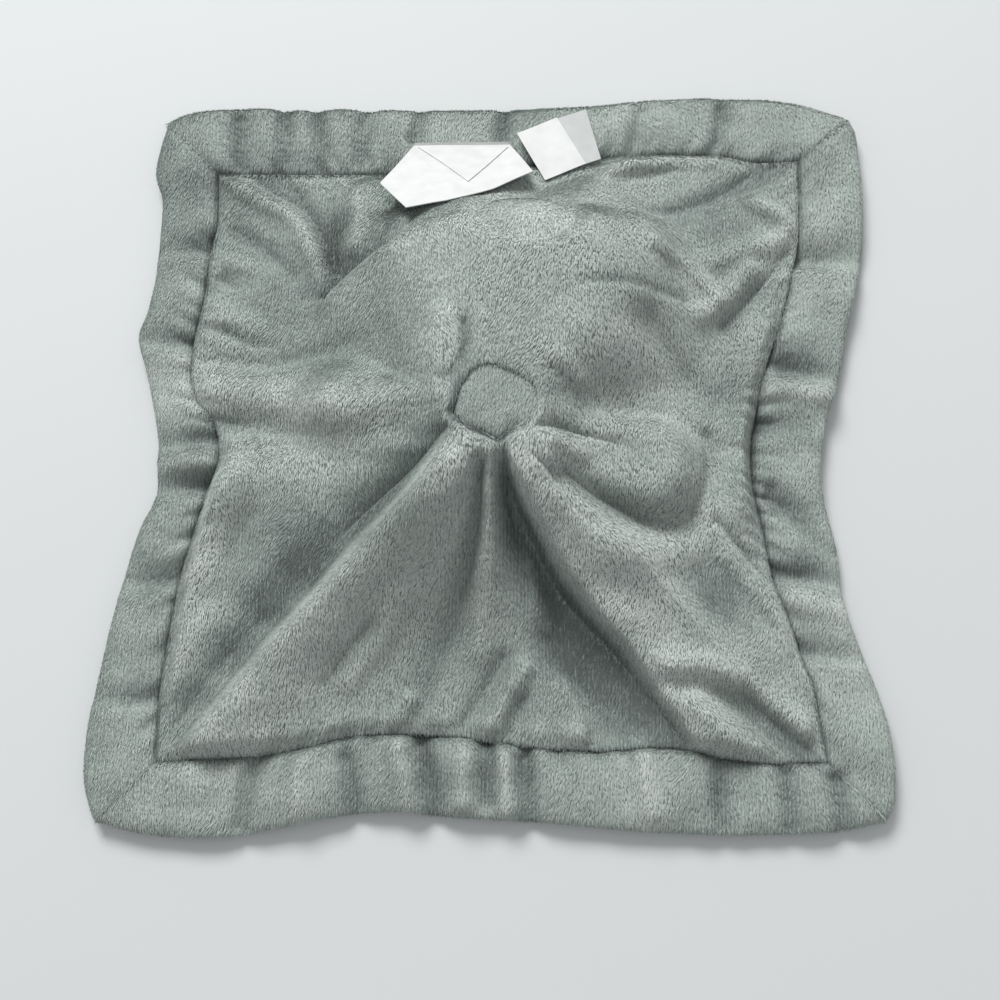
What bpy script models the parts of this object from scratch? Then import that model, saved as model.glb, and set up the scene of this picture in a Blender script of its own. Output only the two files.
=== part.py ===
"""A square comfort blanket with a small plush bear sewn to its middle, lying face down.

Metres, +Z up. The origin is under the middle of the blanket, on the surface that it lies on.
+X is to the right and +Y is towards the edge with the labels. The blanket's back is up. The bear
lies under the cloth with its crown towards +Y and its face down, and its neck comes up through
the gathered hole in both plies to the round patch that closes it.
"""

import math

import bmesh
import bpy
import numpy as np
from mathutils import Matrix, Vector

# Blanket, cut from 14 inch squares
BLANKET_SIDE = 0.356
BORDER_HEIGHT = 0.0095
CLOTH_THICKNESS = 0.0022
PLY_GAP = 0.0006
SEAM_HEIGHT = 0.0045
SEAT_GAP = 0.0003

# Neck and its patch
PATCH_RADIUS = 0.0165
PATCH_THICKNESS = 0.0052
PATCH_CROWN = 0.0016
NECK_LIP = 0.0010
NECK_SKIRT = 0.0062
NECK_PIVOT_DROP = 0.0200
GATHER_THREAD_RADIUS = 0.0005

# Bear's head, half sizes across, neck to crown and front to back
HEAD_HALF_WIDTH = 0.052
HEAD_HALF_LENGTH = 0.043
HEAD_HALF_DEPTH = 0.0225
HEAD_BEYOND_NECK = 0.008
HEAD_ASIDE = 0.010
HEAD_TAPER_SHARE = 0.12
HEAD_FLOOR_GAP = 0.0055
SKIN_THICKNESS = 0.0022
FILLING_MOUTH_RADIUS = 0.0085
CLOTH_CLEARANCE = 0.0026

# Face and ears
MUZZLE_HALF_WIDTH = 0.0165
MUZZLE_HALF_LENGTH = 0.0130
MUZZLE_HALF_DEPTH = 0.0105
MUZZLE_BACK = 0.012
MUZZLE_FLOOR_GAP = 0.0032
NOSE_HALF_WIDTH = 0.0062
NOSE_HALF_LENGTH = 0.0044
NOSE_HALF_DEPTH = 0.0030
NOSE_AHEAD = 0.0045
EYE_RADIUS = 0.0030
EYE_SPACING = 0.036
EYE_AHEAD = 0.008
MOUTH_WIDTH = 0.011
MOUTH_SAG = 0.0024
MOUTH_BACK = 0.0045
MOUTH_THREAD_RADIUS = 0.0004
EAR_RADIUS = 0.0165
EAR_HALF_DEPTH = 0.0050
EAR_SPACING = 0.084
EAR_AHEAD = 0.023
EAR_LINING_RADIUS = 0.0105
EAR_LINING_HALF_DEPTH = 0.0028

# Arms, from the middle of the shoulder to the middle of the paw
SHOULDER_RADIUS = 0.0110
SHOULDER_SPACING = 0.037
SHOULDER_BACK = 0.0110
PAW_RADIUS = 0.0130
PAW_FLOOR_GAP = 0.0015
ARM_LENGTH = 0.046
RIGHT_ARM_ANGLE = math.radians(-14)
LEFT_ARM_ANGLE = math.radians(158)
ARM_MOUTH_RADIUS = 0.0016

# Labels
LABEL_THICKNESS = 0.0006
CARE_LABEL_WIDTH = 0.044
CARE_LABEL_LENGTH = 0.034
CARE_LABEL_SLOPE = math.radians(39)
CARE_LABEL_TURN = math.radians(2)
CARE_TAIL_LENGTH = 0.0080
SIZE_LABEL_WIDTH = 0.0190
SIZE_LABEL_LENGTH = 0.0205
SIZE_LABEL_TURN = math.radians(20)
SIZE_LABEL_SLOPE = math.radians(-16)
SIZE_LABEL_RISE = 0.0074
BACK_LABEL_SHIFT = 0.0125
BACK_LABEL_LENGTH = 0.0215

# The shape of the cloth over a rounded form, and how steeply the tent falls from the neck
BELL_SPREAD = 1.18
BELL_STEEPNESS = 4.5
MERGE_STEEPNESS = 7
DRAPE_MARGIN = 0.004
LIMB_MARGIN = 0.0030
TENT_STEEPNESS = 2.1
EDGE_FADE_SHARE = 0.14
RIM_FADE_SHARE = 0.07

# Mesh counts, and how near points are merged
MERGE_DISTANCE = 0.00001
SIDE_STEPS = 17
ROUND_STEPS = 24
BALL_RINGS = 12
EAR_RINGS = 10
NOSE_RINGS = 8
EYE_RINGS = 6
MOUTH_STEPS = 9
ARM_RINGS = 6
ARM_SIDES = 14
CURVE_STEPS = 12

# Places and outlines, as shares of BLANKET_SIDE. Each side of the border runs clockwise seen from
# above, along its outer edge and along the seam where it meets the panels.
NECK_PLACE_SHARE = (0.008, 0.029)
OUTER_SHARES = {
    "top": (
        (-0.417, 0.437), (-0.385, 0.449), (-0.32, 0.454), (-0.22, 0.453), (-0.02, 0.453),
        (0.12, 0.457), (0.20, 0.465), (0.30, 0.468), (0.40, 0.460), (0.462, 0.440),
    ),
    "right": (
        (0.462, 0.440), (0.474, 0.405), (0.475, 0.275), (0.451, 0.156), (0.436, 0.09),
        (0.420, 0.04), (0.411, -0.015), (0.413, -0.06), (0.428, -0.13), (0.432, -0.19),
        (0.456, -0.262), (0.473, -0.31), (0.485, -0.37), (0.484, -0.42), (0.475, -0.448),
    ),
    "bottom": (
        (0.475, -0.448), (0.41, -0.460), (0.30, -0.464), (0.18, -0.460), (0.07, -0.450),
        (-0.05, -0.443), (-0.11, -0.437), (-0.185, -0.443), (-0.26, -0.458), (-0.337, -0.468),
        (-0.414, -0.462), (-0.472, -0.447),
    ),
    "left": (
        (-0.472, -0.447), (-0.485, -0.404), (-0.485, -0.348), (-0.472, -0.271), (-0.459, -0.205),
        (-0.433, -0.106), (-0.416, -0.066), (-0.412, -0.034), (-0.415, 0.03), (-0.432, 0.107),
        (-0.443, 0.149), (-0.432, 0.183), (-0.423, 0.246), (-0.420, 0.328), (-0.430, 0.371),
        (-0.417, 0.437),
    ),
}
SEAM_SHARES = {
    "top": (
        (-0.350, 0.365), (-0.28, 0.365), (-0.14, 0.365), (-0.05, 0.371), (0.05, 0.377),
        (0.13, 0.384), (0.19, 0.391), (0.29, 0.390), (0.345, 0.381), (0.397, 0.383),
    ),
    "right": (
        (0.397, 0.383), (0.396, 0.31), (0.391, 0.26), (0.371, 0.178), (0.348, 0.109),
        (0.333, 0.05), (0.325, 0.005), (0.326, -0.047), (0.338, -0.107), (0.347, -0.16),
        (0.364, -0.206), (0.380, -0.26), (0.392, -0.29), (0.398, -0.332), (0.406, -0.381),
    ),
    "bottom": (
        (0.406, -0.381), (0.33, -0.382), (0.27, -0.374), (0.22, -0.364), (0.13, -0.368),
        (0.05, -0.363), (-0.05, -0.351), (-0.156, -0.349), (-0.224, -0.364), (-0.281, -0.373),
        (-0.34, -0.377), (-0.400, -0.380),
    ),
    "left": (
        (-0.400, -0.380), (-0.400, -0.31), (-0.393, -0.245), (-0.384, -0.182), (-0.371, -0.123),
        (-0.353, -0.06), (-0.338, -0.008), (-0.344, 0.036), (-0.364, 0.06), (-0.375, 0.093),
        (-0.374, 0.139), (-0.363, 0.20), (-0.357, 0.256), (-0.349, 0.30), (-0.350, 0.365),
    ),
}
# Across the border from its outer edge, 0, to the seam, 1, and up to BORDER_HEIGHT.
BORDER_SECTION_SHARES = (
    (1.0, 0.08), (1.0, 0.78), (0.86, 0.95), (0.60, 1.0), (0.33, 0.93),
    (0.12, 0.72), (0.0, 0.42), (0.05, 0.14), (0.16, 0.0), (0.90, 0.0),
)
# Rows of the panels from the neck, 0, to the seam, 1.
PANEL_ROW_SHARES = (0.0, 0.07, 0.17, 0.29, 0.42, 0.57, 0.73, 0.87, 1.0)
CARE_LABEL_PLACE_SHARE = (-0.036, 0.394)
SIZE_LABEL_PLACE_SHARE = (0.090, 0.368)
# The care label's folded flap, across its width and along its length.
CARE_FLAP_SHARES = (
    (-0.50, 0.0), (-0.84, 0.62), (-0.57, 1.0), (-0.16, 0.90), (0.36, 0.72), (0.73, 0.42), (0.50, 0.0),
)
# Folds of the tent below the neck: ridges rise and valleys fall, each wide to its left and right.
FOLD_SHARES = (
    {"start": (-0.045, -0.030), "end": (-0.345, -0.365), "rise": (0.042, 0.012), "wide": (0.030, 0.050)},
    {"start": (-0.075, -0.010), "end": (-0.375, -0.365), "rise": (-0.030, -0.006), "wide": (0.030, 0.018)},
    {"start": (-0.004, -0.030), "end": (0.000, -0.205), "rise": (0.030, 0.006), "wide": (0.020, 0.020)},
    {"start": (0.030, -0.030), "end": (0.250, -0.360), "rise": (-0.045, -0.008), "wide": (0.040, 0.016)},
    {"start": (0.045, -0.030), "end": (0.300, -0.350), "rise": (0.040, 0.014), "wide": (0.022, 0.060)},
    {"start": (-0.090, 0.020), "end": (-0.320, 0.005), "rise": (0.020, 0.010), "wide": (0.026, 0.040)},
)
# The patch's crown, out to PATCH_RADIUS and down by PATCH_CROWN.
PATCH_CROWN_SHARES = ((0.0, 0.0), (0.55, 0.18), (0.86, 0.60), (1.0, 1.40))

PLUSH_GREEN = (0.300, 0.345, 0.325, 1.0)
CREAM = (0.74, 0.70, 0.62, 1.0)
SATIN_WHITE = (0.86, 0.86, 0.84, 1.0)
THREAD_BROWN = (0.075, 0.050, 0.040, 1.0)
FILLING_WHITE = (0.82, 0.82, 0.80, 1.0)


def clear_scene():
    for old in list(bpy.data.objects):
        bpy.data.objects.remove(old, do_unlink=True)


def new_collection(name):
    collection = bpy.data.collections.new(name)
    bpy.context.scene.collection.children.link(collection)
    return collection


def principled(name, colour, roughness):
    material = bpy.data.materials.new(name)
    material.use_nodes = True
    shader = material.node_tree.nodes["Principled BSDF"]
    shader.inputs["Base Color"].default_value = colour
    shader.inputs["Roughness"].default_value = roughness
    shader.inputs["Metallic"].default_value = 0.0
    return material


def object_from(name, shape, material, collection):
    """A named object from a bmesh, with its faces pointing out."""
    bmesh.ops.recalc_face_normals(shape, faces=shape.faces)
    mesh = bpy.data.meshes.new(name)
    shape.to_mesh(mesh)
    shape.free()
    mesh.shade_smooth()
    made = bpy.data.objects.new(name, mesh)
    collection.objects.link(made)
    if material is not None:
        made.data.materials.append(material)
    return made


def cutter_from(name, shape):
    made = object_from(name, shape, None, CUTTERS)
    made.hide_render = True
    made.display_type = "WIRE"
    return made


def hang_on(name, centre, pieces):
    """An empty on a joint's axis, which turns these pieces."""
    joint = bpy.data.objects.new(name, None)
    joint.location = centre
    PARTS.objects.link(joint)
    for piece in pieces:
        piece.parent = joint
        piece.matrix_parent_inverse = Matrix.Translation(-centre)


def boolean(target, cutter, operation="DIFFERENCE"):
    modifier = target.modifiers.new(operation.lower() + "_" + cutter.name, "BOOLEAN")
    modifier.operation = operation
    modifier.object = cutter


def loft(rings):
    """A bmesh skin over equal rings of points, with a cap on each end."""
    shape = bmesh.new()
    rows = [[shape.verts.new(point) for point in ring] for ring in rings]
    for one, other in zip(rows, rows[1:]):
        for a, b, c, d in zip(one, one[1:] + one[:1], other[1:] + other[:1], other):
            shape.faces.new((a, b, c, d))
    shape.faces.new(rows[0])
    shape.faces.new(rows[-1])
    bmesh.ops.triangulate(shape, faces=shape.faces)
    return shape


def smooth_path(shares, count):
    """Points at equal steps on a smooth curve through places given as shares of the blanket's side."""
    knots = np.array(shares) * BLANKET_SIDE
    ends = np.vstack([2 * knots[0] - knots[1], knots, 2 * knots[-1] - knots[-2]])
    dense = []
    for a, b, c, d in zip(ends, ends[1:], ends[2:], ends[3:]):
        for t in np.linspace(0.0, 1.0, CURVE_STEPS, endpoint=False):
            bend = (2 * a - 5 * b + 4 * c - d) * t**2 + (3 * b - a - 3 * c + d) * t**3
            dense.append(0.5 * (2 * b + (c - a) * t + bend))
    dense = np.array(dense + [knots[-1]])
    along = np.concatenate([[0.0], np.cumsum(np.linalg.norm(np.diff(dense, axis=0), axis=1))])
    steps = np.linspace(0.0, along[-1], count + 1)
    return np.column_stack([np.interp(steps, along, dense[:, axis]) for axis in (0, 1)])


def place(share, z):
    return Vector((share[0] * BLANKET_SIDE, share[1] * BLANKET_SIDE, z))


def ball(centre, radii, taper=0.0, rings=BALL_RINGS):
    """A ball with poles along Y and unlike radii, narrower by its taper towards +Y."""
    shape = bmesh.new()
    bmesh.ops.create_uvsphere(shape, u_segments=2 * rings, v_segments=rings, radius=1)
    bmesh.ops.rotate(shape, cent=(0, 0, 0), matrix=Matrix.Rotation(math.pi / 2, 3, "X"), verts=shape.verts)
    for vert in shape.verts:
        narrowing = 1 - taper * vert.co.y
        vert.co.x *= radii[0] * narrowing
        vert.co.z *= radii[2]
        vert.co.y *= radii[1]
        vert.co += Vector(centre)
    return shape


def cylinder(centre, radius, bottom, top):
    shape = bmesh.new()
    sizes = {"radius1": radius, "radius2": radius, "depth": top - bottom}
    bmesh.ops.create_cone(shape, cap_ends=True, segments=ROUND_STEPS, **sizes)
    bmesh.ops.translate(shape, vec=(centre[0], centre[1], (top + bottom) / 2), verts=shape.verts)
    return shape


# From the top of the bear's pieces up to the middle of the two plies over them
OVER_TOY = CLOTH_CLEARANCE + CLOTH_THICKNESS + PLY_GAP / 2
TENT_HEIGHT = HEAD_FLOOR_GAP + 2 * HEAD_HALF_DEPTH + OVER_TOY
NECK_BALL_RADIUS = PATCH_RADIUS - NECK_LIP

# Where the bear's pieces are
NECK = place(NECK_PLACE_SHARE, TENT_HEIGHT)
PATCH_BOTTOM = TENT_HEIGHT - PLY_GAP / 2
PATCH_TOP = PATCH_BOTTOM + PATCH_THICKNESS
PIVOT = Vector((NECK.x, NECK.y, TENT_HEIGHT - NECK_PIVOT_DROP))
HEAD = NECK + Vector((HEAD_ASIDE, HEAD_BEYOND_NECK + HEAD_HALF_LENGTH, 0))
HEAD.z = HEAD_FLOOR_GAP + HEAD_HALF_DEPTH
HEAD_RADII = Vector((HEAD_HALF_WIDTH, HEAD_HALF_LENGTH, HEAD_HALF_DEPTH))
MUZZLE = Vector((HEAD.x, HEAD.y - MUZZLE_BACK, MUZZLE_FLOOR_GAP + MUZZLE_HALF_DEPTH))
MUZZLE_RADII = Vector((MUZZLE_HALF_WIDTH, MUZZLE_HALF_LENGTH, MUZZLE_HALF_DEPTH))


def shoulder(side):
    """The middle of a shoulder, which rests against the ball of the neck."""
    across = side * SHOULDER_SPACING / 2
    reach = NECK_BALL_RADIUS + SEAT_GAP + SHOULDER_RADIUS
    drop = math.sqrt(reach**2 - across**2 - SHOULDER_BACK**2)
    return Vector((PIVOT.x + across, PIVOT.y - SHOULDER_BACK, PIVOT.z - drop))


def paw(side):
    angle = RIGHT_ARM_ANGLE if side > 0 else LEFT_ARM_ANGLE
    reach = Vector((math.cos(angle), math.sin(angle), 0)) * ARM_LENGTH
    end = shoulder(side) + reach
    end.z = PAW_FLOOR_GAP + PAW_RADIUS
    return end


def ear_centre(side):
    return HEAD + Vector((side * EAR_SPACING / 2, EAR_AHEAD, 0.0))


def bell(x, y, centre, half_width, half_length, top):
    """How high the cloth lies over a rounded form, which it clears all over."""
    across = (x - centre.x) / (half_width + DRAPE_MARGIN)
    along = (y - centre.y) / (half_length + DRAPE_MARGIN)
    return (top - SEAM_HEIGHT) / (1 + (math.hypot(across, along) / BELL_SPREAD) ** BELL_STEEPNESS)


def arm_bells(x, y):
    """The cloth's height over each arm, from the nearest place along it."""
    heights = []
    for side in (-1, 1):
        start = shoulder(side)
        run = paw(side) - start
        share = ((x - start.x) * run.x + (y - start.y) * run.y) / (run.x**2 + run.y**2)
        share = min(max(share, 0.0), 1.0)
        half = SHOULDER_RADIUS + (PAW_RADIUS - SHOULDER_RADIUS) * share
        centre = start + run * share
        wide = half + LIMB_MARGIN
        heights.append(bell(x, y, centre, wide, wide, centre.z + half + OVER_TOY))
    return heights


def toy_bells(x, y):
    """The cloth's height over the head, its ears and the arms."""
    heights = [bell(x, y, HEAD, HEAD_HALF_WIDTH, HEAD_HALF_LENGTH, HEAD.z + HEAD_HALF_DEPTH + OVER_TOY)]
    for side in (-1, 1):
        top = HEAD.z + EAR_HALF_DEPTH + OVER_TOY
        half = EAR_RADIUS + LIMB_MARGIN
        heights.append(bell(x, y, ear_centre(side), half, half, top))
    return heights + arm_bells(x, y)


def fold(x, y, shares):
    """The rise of one straight fold here, which has its own width on each side."""
    sizes = {name: np.array(share) * BLANKET_SIDE for name, share in shares.items()}
    here = np.array((x, y)) - sizes["start"]
    run = sizes["end"] - sizes["start"]
    length = np.hypot(*run)
    along = here @ run / length
    off = (here[0] * run[1] - here[1] * run[0]) / length
    beyond = max(-along, along - length, 0.0)
    width = sizes["wide"][0] if off > 0 else sizes["wide"][1]
    rise = np.interp(along, (0.0, length), sizes["rise"])
    return rise * math.exp(-(math.hypot(off, beyond) / width) ** 2)


def cloth_height(x, y, row):
    """The height of the middle of the two plies, at a share of the way from the neck to the seam."""
    full = TENT_HEIGHT - SEAM_HEIGHT
    tent = full * (1 - row) ** TENT_STEEPNESS
    tent = max(0.0, tent + sum(fold(x, y, shares) for shares in FOLD_SHARES))
    merged = sum(swell**MERGE_STEEPNESS for swell in [tent] + toy_bells(x, y)) ** (1 / MERGE_STEEPNESS)
    height = min(full, merged)
    inward = min(1.0, (1 - row) / EDGE_FADE_SHARE)
    near = min(1.0, row / RIM_FADE_SHARE)
    return SEAM_HEIGHT + inward * (near * height + (1 - near) * full)


def seam_loop():
    sides = [smooth_path(SEAM_SHARES[side], SIDE_STEPS)[:-1] for side in ("top", "right", "bottom", "left")]
    return np.vstack(sides)


def panel(name, bottom, material):
    """One ply of the blanket, a ring of cloth from the hole at the neck to the seam."""
    shape = bmesh.new()
    spokes = []
    for x, y in seam_loop():
        out = Vector((x - NECK.x, y - NECK.y, 0.0))
        rim = out.normalized() * (PATCH_RADIUS + SEAT_GAP)
        edge = out - out.normalized() * SEAT_GAP * math.sqrt(2)
        spoke = [NECK.xy.to_3d() + rim.lerp(edge, share) for share in PANEL_ROW_SHARES]
        for point, share in zip(spoke, PANEL_ROW_SHARES):
            point.z = cloth_height(point.x, point.y, share) + bottom
        spokes.append([shape.verts.new(point) for point in spoke])
    for one, other in zip(spokes, spokes[1:] + spokes[:1]):
        for a, b, c, d in zip(one, one[1:], other[1:], other):
            shape.faces.new((a, b, c, d))
    bmesh.ops.triangulate(shape, faces=shape.faces, quad_method="FIXED")
    raised = bmesh.ops.extrude_face_region(shape, geom=shape.faces, use_keep_orig=True)
    top = [item for item in raised["geom"] if isinstance(item, bmesh.types.BMVert)]
    bmesh.ops.translate(shape, vec=(0, 0, CLOTH_THICKNESS), verts=top)
    return object_from(name, shape, material, PARTS)


def border(side, material):
    """One mitred strip of the border, puffed up and flat where it lies on the floor."""
    outer = smooth_path(OUTER_SHARES[side], SIDE_STEPS)
    inner = smooth_path(SEAM_SHARES[side], SIDE_STEPS)
    for edge in (outer, inner):
        first = edge[1] - edge[0]
        last = edge[-2] - edge[-1]
        edge[0] += first / np.linalg.norm(first) * SEAT_GAP
        edge[-1] += last / np.linalg.norm(last) * SEAT_GAP
    sections = []
    for one, other in zip(outer, inner):
        section = []
        for across, up in BORDER_SECTION_SHARES:
            x, y = one + (other - one) * across
            section.append((x, y, up * BORDER_HEIGHT))
        sections.append(section)
    return object_from("border_" + side, loft(sections), material, PARTS)


def turned(name, profile, centre, material):
    """A turned piece about an upright axis, from a profile of radius and height, top to bottom."""
    shape = bmesh.new()
    verts = [shape.verts.new((radius, 0, height)) for radius, height in profile]
    for one, other in zip(verts, verts[1:]):
        shape.edges.new((one, other))
    mesh = bpy.data.meshes.new(name)
    shape.to_mesh(mesh)
    shape.free()
    made = bpy.data.objects.new(name, mesh)
    made.location = (centre.x, centre.y, 0)
    PARTS.objects.link(made)
    made.data.materials.append(material)
    screw = made.modifiers.new("turn", "SCREW")
    screw.steps = ROUND_STEPS
    screw.render_steps = ROUND_STEPS
    screw.use_merge_vertices = True
    screw.merge_threshold = MERGE_DISTANCE
    return made


def tube(name, points, radius, cyclic, material):
    """A thread: a round curve through points."""
    curve = bpy.data.curves.new(name, "CURVE")
    curve.dimensions = "3D"
    curve.bevel_depth = radius
    curve.bevel_resolution = 1
    curve.use_fill_caps = not cyclic
    spline = curve.splines.new("POLY")
    spline.points.add(len(points) - 1)
    for point, co in zip(spline.points, points):
        point.co = (*co, 1)
    spline.use_cyclic_u = cyclic
    made = bpy.data.objects.new(name, curve)
    PARTS.objects.link(made)
    made.data.materials.append(material)
    return made


def build_neck(plush, thread):
    crown = [(out * PATCH_RADIUS, PATCH_TOP - down * PATCH_CROWN) for out, down in PATCH_CROWN_SHARES]
    turned("neck_patch", crown + [(PATCH_RADIUS, PATCH_BOTTOM), (0.0, PATCH_BOTTOM)], NECK, plush)
    neck_bottom = PIVOT.z + NECK_SKIRT
    neck_top = PATCH_BOTTOM - SEAT_GAP - 2 * GATHER_THREAD_RADIUS - SEAT_GAP
    neck = object_from("neck", cylinder(NECK, PATCH_RADIUS, neck_bottom, neck_top), plush, PARTS)
    socket_radius = NECK_BALL_RADIUS + SEAT_GAP
    boolean(neck, cutter_from("neck_socket", ball(PIVOT, [socket_radius] * 3)))
    boolean(neck, cutter_from("head_seat", head_form(-SEAT_GAP)))
    level = PATCH_BOTTOM - SEAT_GAP - GATHER_THREAD_RADIUS
    ring = PATCH_RADIUS - 2 * GATHER_THREAD_RADIUS
    turns = [2 * math.pi * step / ROUND_STEPS for step in range(ROUND_STEPS)]
    route = [(NECK.x + ring * math.cos(turn), NECK.y + ring * math.sin(turn), level) for turn in turns]
    tube("gathering_thread", route, GATHER_THREAD_RADIUS, True, thread)


def head_form(inset):
    return ball(HEAD, HEAD_RADII - Vector((inset, inset, inset)), HEAD_TAPER_SHARE)


def neck_ball(inset):
    return ball(PIVOT, [NECK_BALL_RADIUS - inset] * 3)


def build_head(plush, filling):
    skin = object_from("head_skin", head_form(0.0), plush, PARTS)
    boolean(skin, cutter_from("neck_ball", neck_ball(0.0)), "UNION")
    boolean(skin, cutter_from("head_hollow", head_form(SKIN_THICKNESS)))
    boolean(skin, cutter_from("neck_hollow", neck_ball(SKIN_THICKNESS)))
    mouth = cylinder(PIVOT, FILLING_MOUTH_RADIUS, PIVOT.z, PIVOT.z + NECK_BALL_RADIUS + SKIN_THICKNESS)
    boolean(skin, cutter_from("filling_mouth", mouth))
    inside = SKIN_THICKNESS + SEAT_GAP
    stuffing = object_from("head_filling", head_form(inside), filling, PARTS)
    boolean(stuffing, cutter_from("filling_neck", neck_ball(inside)), "UNION")
    return [skin, stuffing]


def build_face(cream, thread):
    """The muzzle, nose, eyes and mouth on the underside of the head."""
    made = []
    head_clear = bpy.data.objects["head_seat"]
    muzzle = object_from("muzzle", ball(MUZZLE, MUZZLE_RADII), cream, PARTS)
    boolean(muzzle, head_clear)
    nose_place = Vector((MUZZLE.x, MUZZLE.y + NOSE_AHEAD, 0))
    nose_place.z = underside(MUZZLE, MUZZLE_RADII, nose_place)
    nose_radii = (NOSE_HALF_WIDTH, NOSE_HALF_LENGTH, NOSE_HALF_DEPTH)
    nose = object_from("nose", ball(nose_place, nose_radii, rings=NOSE_RINGS), thread, PARTS)
    muzzle_clear = ball(MUZZLE, MUZZLE_RADII + Vector([SEAT_GAP] * 3))
    boolean(nose, cutter_from("muzzle_seat", muzzle_clear))
    for side, name in ((-1, "left"), (1, "right")):
        eye_place = Vector((HEAD.x + side * EYE_SPACING / 2, HEAD.y + EYE_AHEAD, 0))
        eye_place.z = underside(HEAD, HEAD_RADII, eye_place)
        eye = object_from("eye_" + name, ball(eye_place, [EYE_RADIUS] * 3, rings=EYE_RINGS), thread, PARTS)
        boolean(eye, head_clear)
        made.append(eye)
    route = []
    off_cloth = MUZZLE_RADII + Vector([MOUTH_THREAD_RADIUS + SEAT_GAP] * 3)
    for step in range(MOUTH_STEPS):
        share = 2 * step / (MOUTH_STEPS - 1) - 1
        point = Vector((MUZZLE.x + share * MOUTH_WIDTH / 2, MUZZLE.y - MOUTH_BACK + MOUTH_SAG * share**2, 0))
        point.z = underside(MUZZLE, off_cloth, point)
        route.append(point)
    mouth = tube("mouth_stitch", route, MOUTH_THREAD_RADIUS, False, thread)
    return made + [muzzle, nose, mouth]


def underside(centre, radii, point):
    """The height of a ball's lower surface under a point."""
    across = ((point.x - centre.x) / radii[0]) ** 2 + ((point.y - centre.y) / radii[1]) ** 2
    return centre.z - radii[2] * math.sqrt(max(0.0, 1 - across))


def build_ears(plush, cream):
    made = []
    head_clear = bpy.data.objects["head_seat"]
    for side, name in ((-1, "left"), (1, "right")):
        centre = ear_centre(side)
        radii = Vector((EAR_RADIUS, EAR_RADIUS, EAR_HALF_DEPTH))
        ear = object_from("ear_" + name, ball(centre, radii, rings=EAR_RINGS), plush, PARTS)
        boolean(ear, head_clear)
        front = centre - Vector((-side * EAR_LINING_HALF_DEPTH, 0, EAR_HALF_DEPTH))
        lining_radii = (EAR_LINING_RADIUS, EAR_LINING_RADIUS, EAR_LINING_HALF_DEPTH)
        lining = object_from("ear_lining_" + name, ball(front, lining_radii, rings=NOSE_RINGS), cream, PARTS)
        boolean(lining, head_clear)
        ear_clear = ball(centre, radii + Vector([SEAT_GAP] * 3), rings=EAR_RINGS)
        boolean(lining, cutter_from("ear_seat_" + name, ear_clear))
        made += [ear, lining]
    return made


def arm_form(side, inset):
    """An arm: half balls at its shoulder and its paw, and the skin drawn between them."""
    start = shoulder(side)
    run = paw(side) - start
    forward = run.normalized()
    across = Vector((0, 0, 1)).cross(forward).normalized()
    lift = forward.cross(across)
    turns = [math.pi / 2 * step / ARM_RINGS for step in range(ARM_RINGS)]
    profile = []
    for turn in reversed(turns):
        radius = SHOULDER_RADIUS - inset
        profile.append((-radius * math.sin(turn), radius * math.cos(turn)))
    for turn in turns:
        radius = PAW_RADIUS - inset
        profile.append((run.length + radius * math.sin(turn), radius * math.cos(turn)))
    rings = []
    for along, radius in profile:
        ring = []
        for step in range(ARM_SIDES):
            angle = 2 * math.pi * step / ARM_SIDES
            out = across * math.cos(angle) + lift * math.sin(angle)
            ring.append(start + forward * along + out * radius)
        rings.append(ring)
    return loft(rings)


def build_arm(side, name, plush, filling):
    start = shoulder(side)
    skin = object_from("arm_" + name, arm_form(side, 0.0), plush, PARTS)
    boolean(skin, cutter_from("arm_hollow_" + name, arm_form(side, SKIN_THICKNESS)))
    to_neck = (PIVOT - start).to_track_quat("Z", "Y").to_matrix().to_4x4()
    mouth = cylinder((0, 0), ARM_MOUTH_RADIUS, 0.0, SHOULDER_RADIUS + SKIN_THICKNESS)
    bmesh.ops.transform(mouth, matrix=Matrix.Translation(start) @ to_neck, verts=mouth.verts)
    boolean(skin, cutter_from("arm_mouth_" + name, mouth))
    stuffing = object_from("arm_filling_" + name, arm_form(side, SKIN_THICKNESS + SEAT_GAP), filling, PARTS)
    hang_on("shoulder_" + name, start, [skin, stuffing])


def flat_label(name, outline, hinge, turn, slope, material):
    """A flat piece of ribbon, drawn from the middle of its hinge line, turned and then sloped about it."""
    curve = bpy.data.curves.new(name, "CURVE")
    curve.dimensions = "2D"
    curve.fill_mode = "BOTH"
    curve.extrude = LABEL_THICKNESS / 2
    spline = curve.splines.new("POLY")
    spline.points.add(len(outline) - 1)
    for point, (x, y) in zip(spline.points, outline):
        point.co = (x, y, 0, 1)
    spline.use_cyclic_u = True
    made = bpy.data.objects.new(name, curve)
    made.rotation_euler = (slope, 0, turn)
    made.location = hinge
    PARTS.objects.link(made)
    made.data.materials.append(material)


def leaf(width, length):
    return [(-width / 2, 0), (width / 2, 0), (width / 2, length), (-width / 2, length)]


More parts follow.
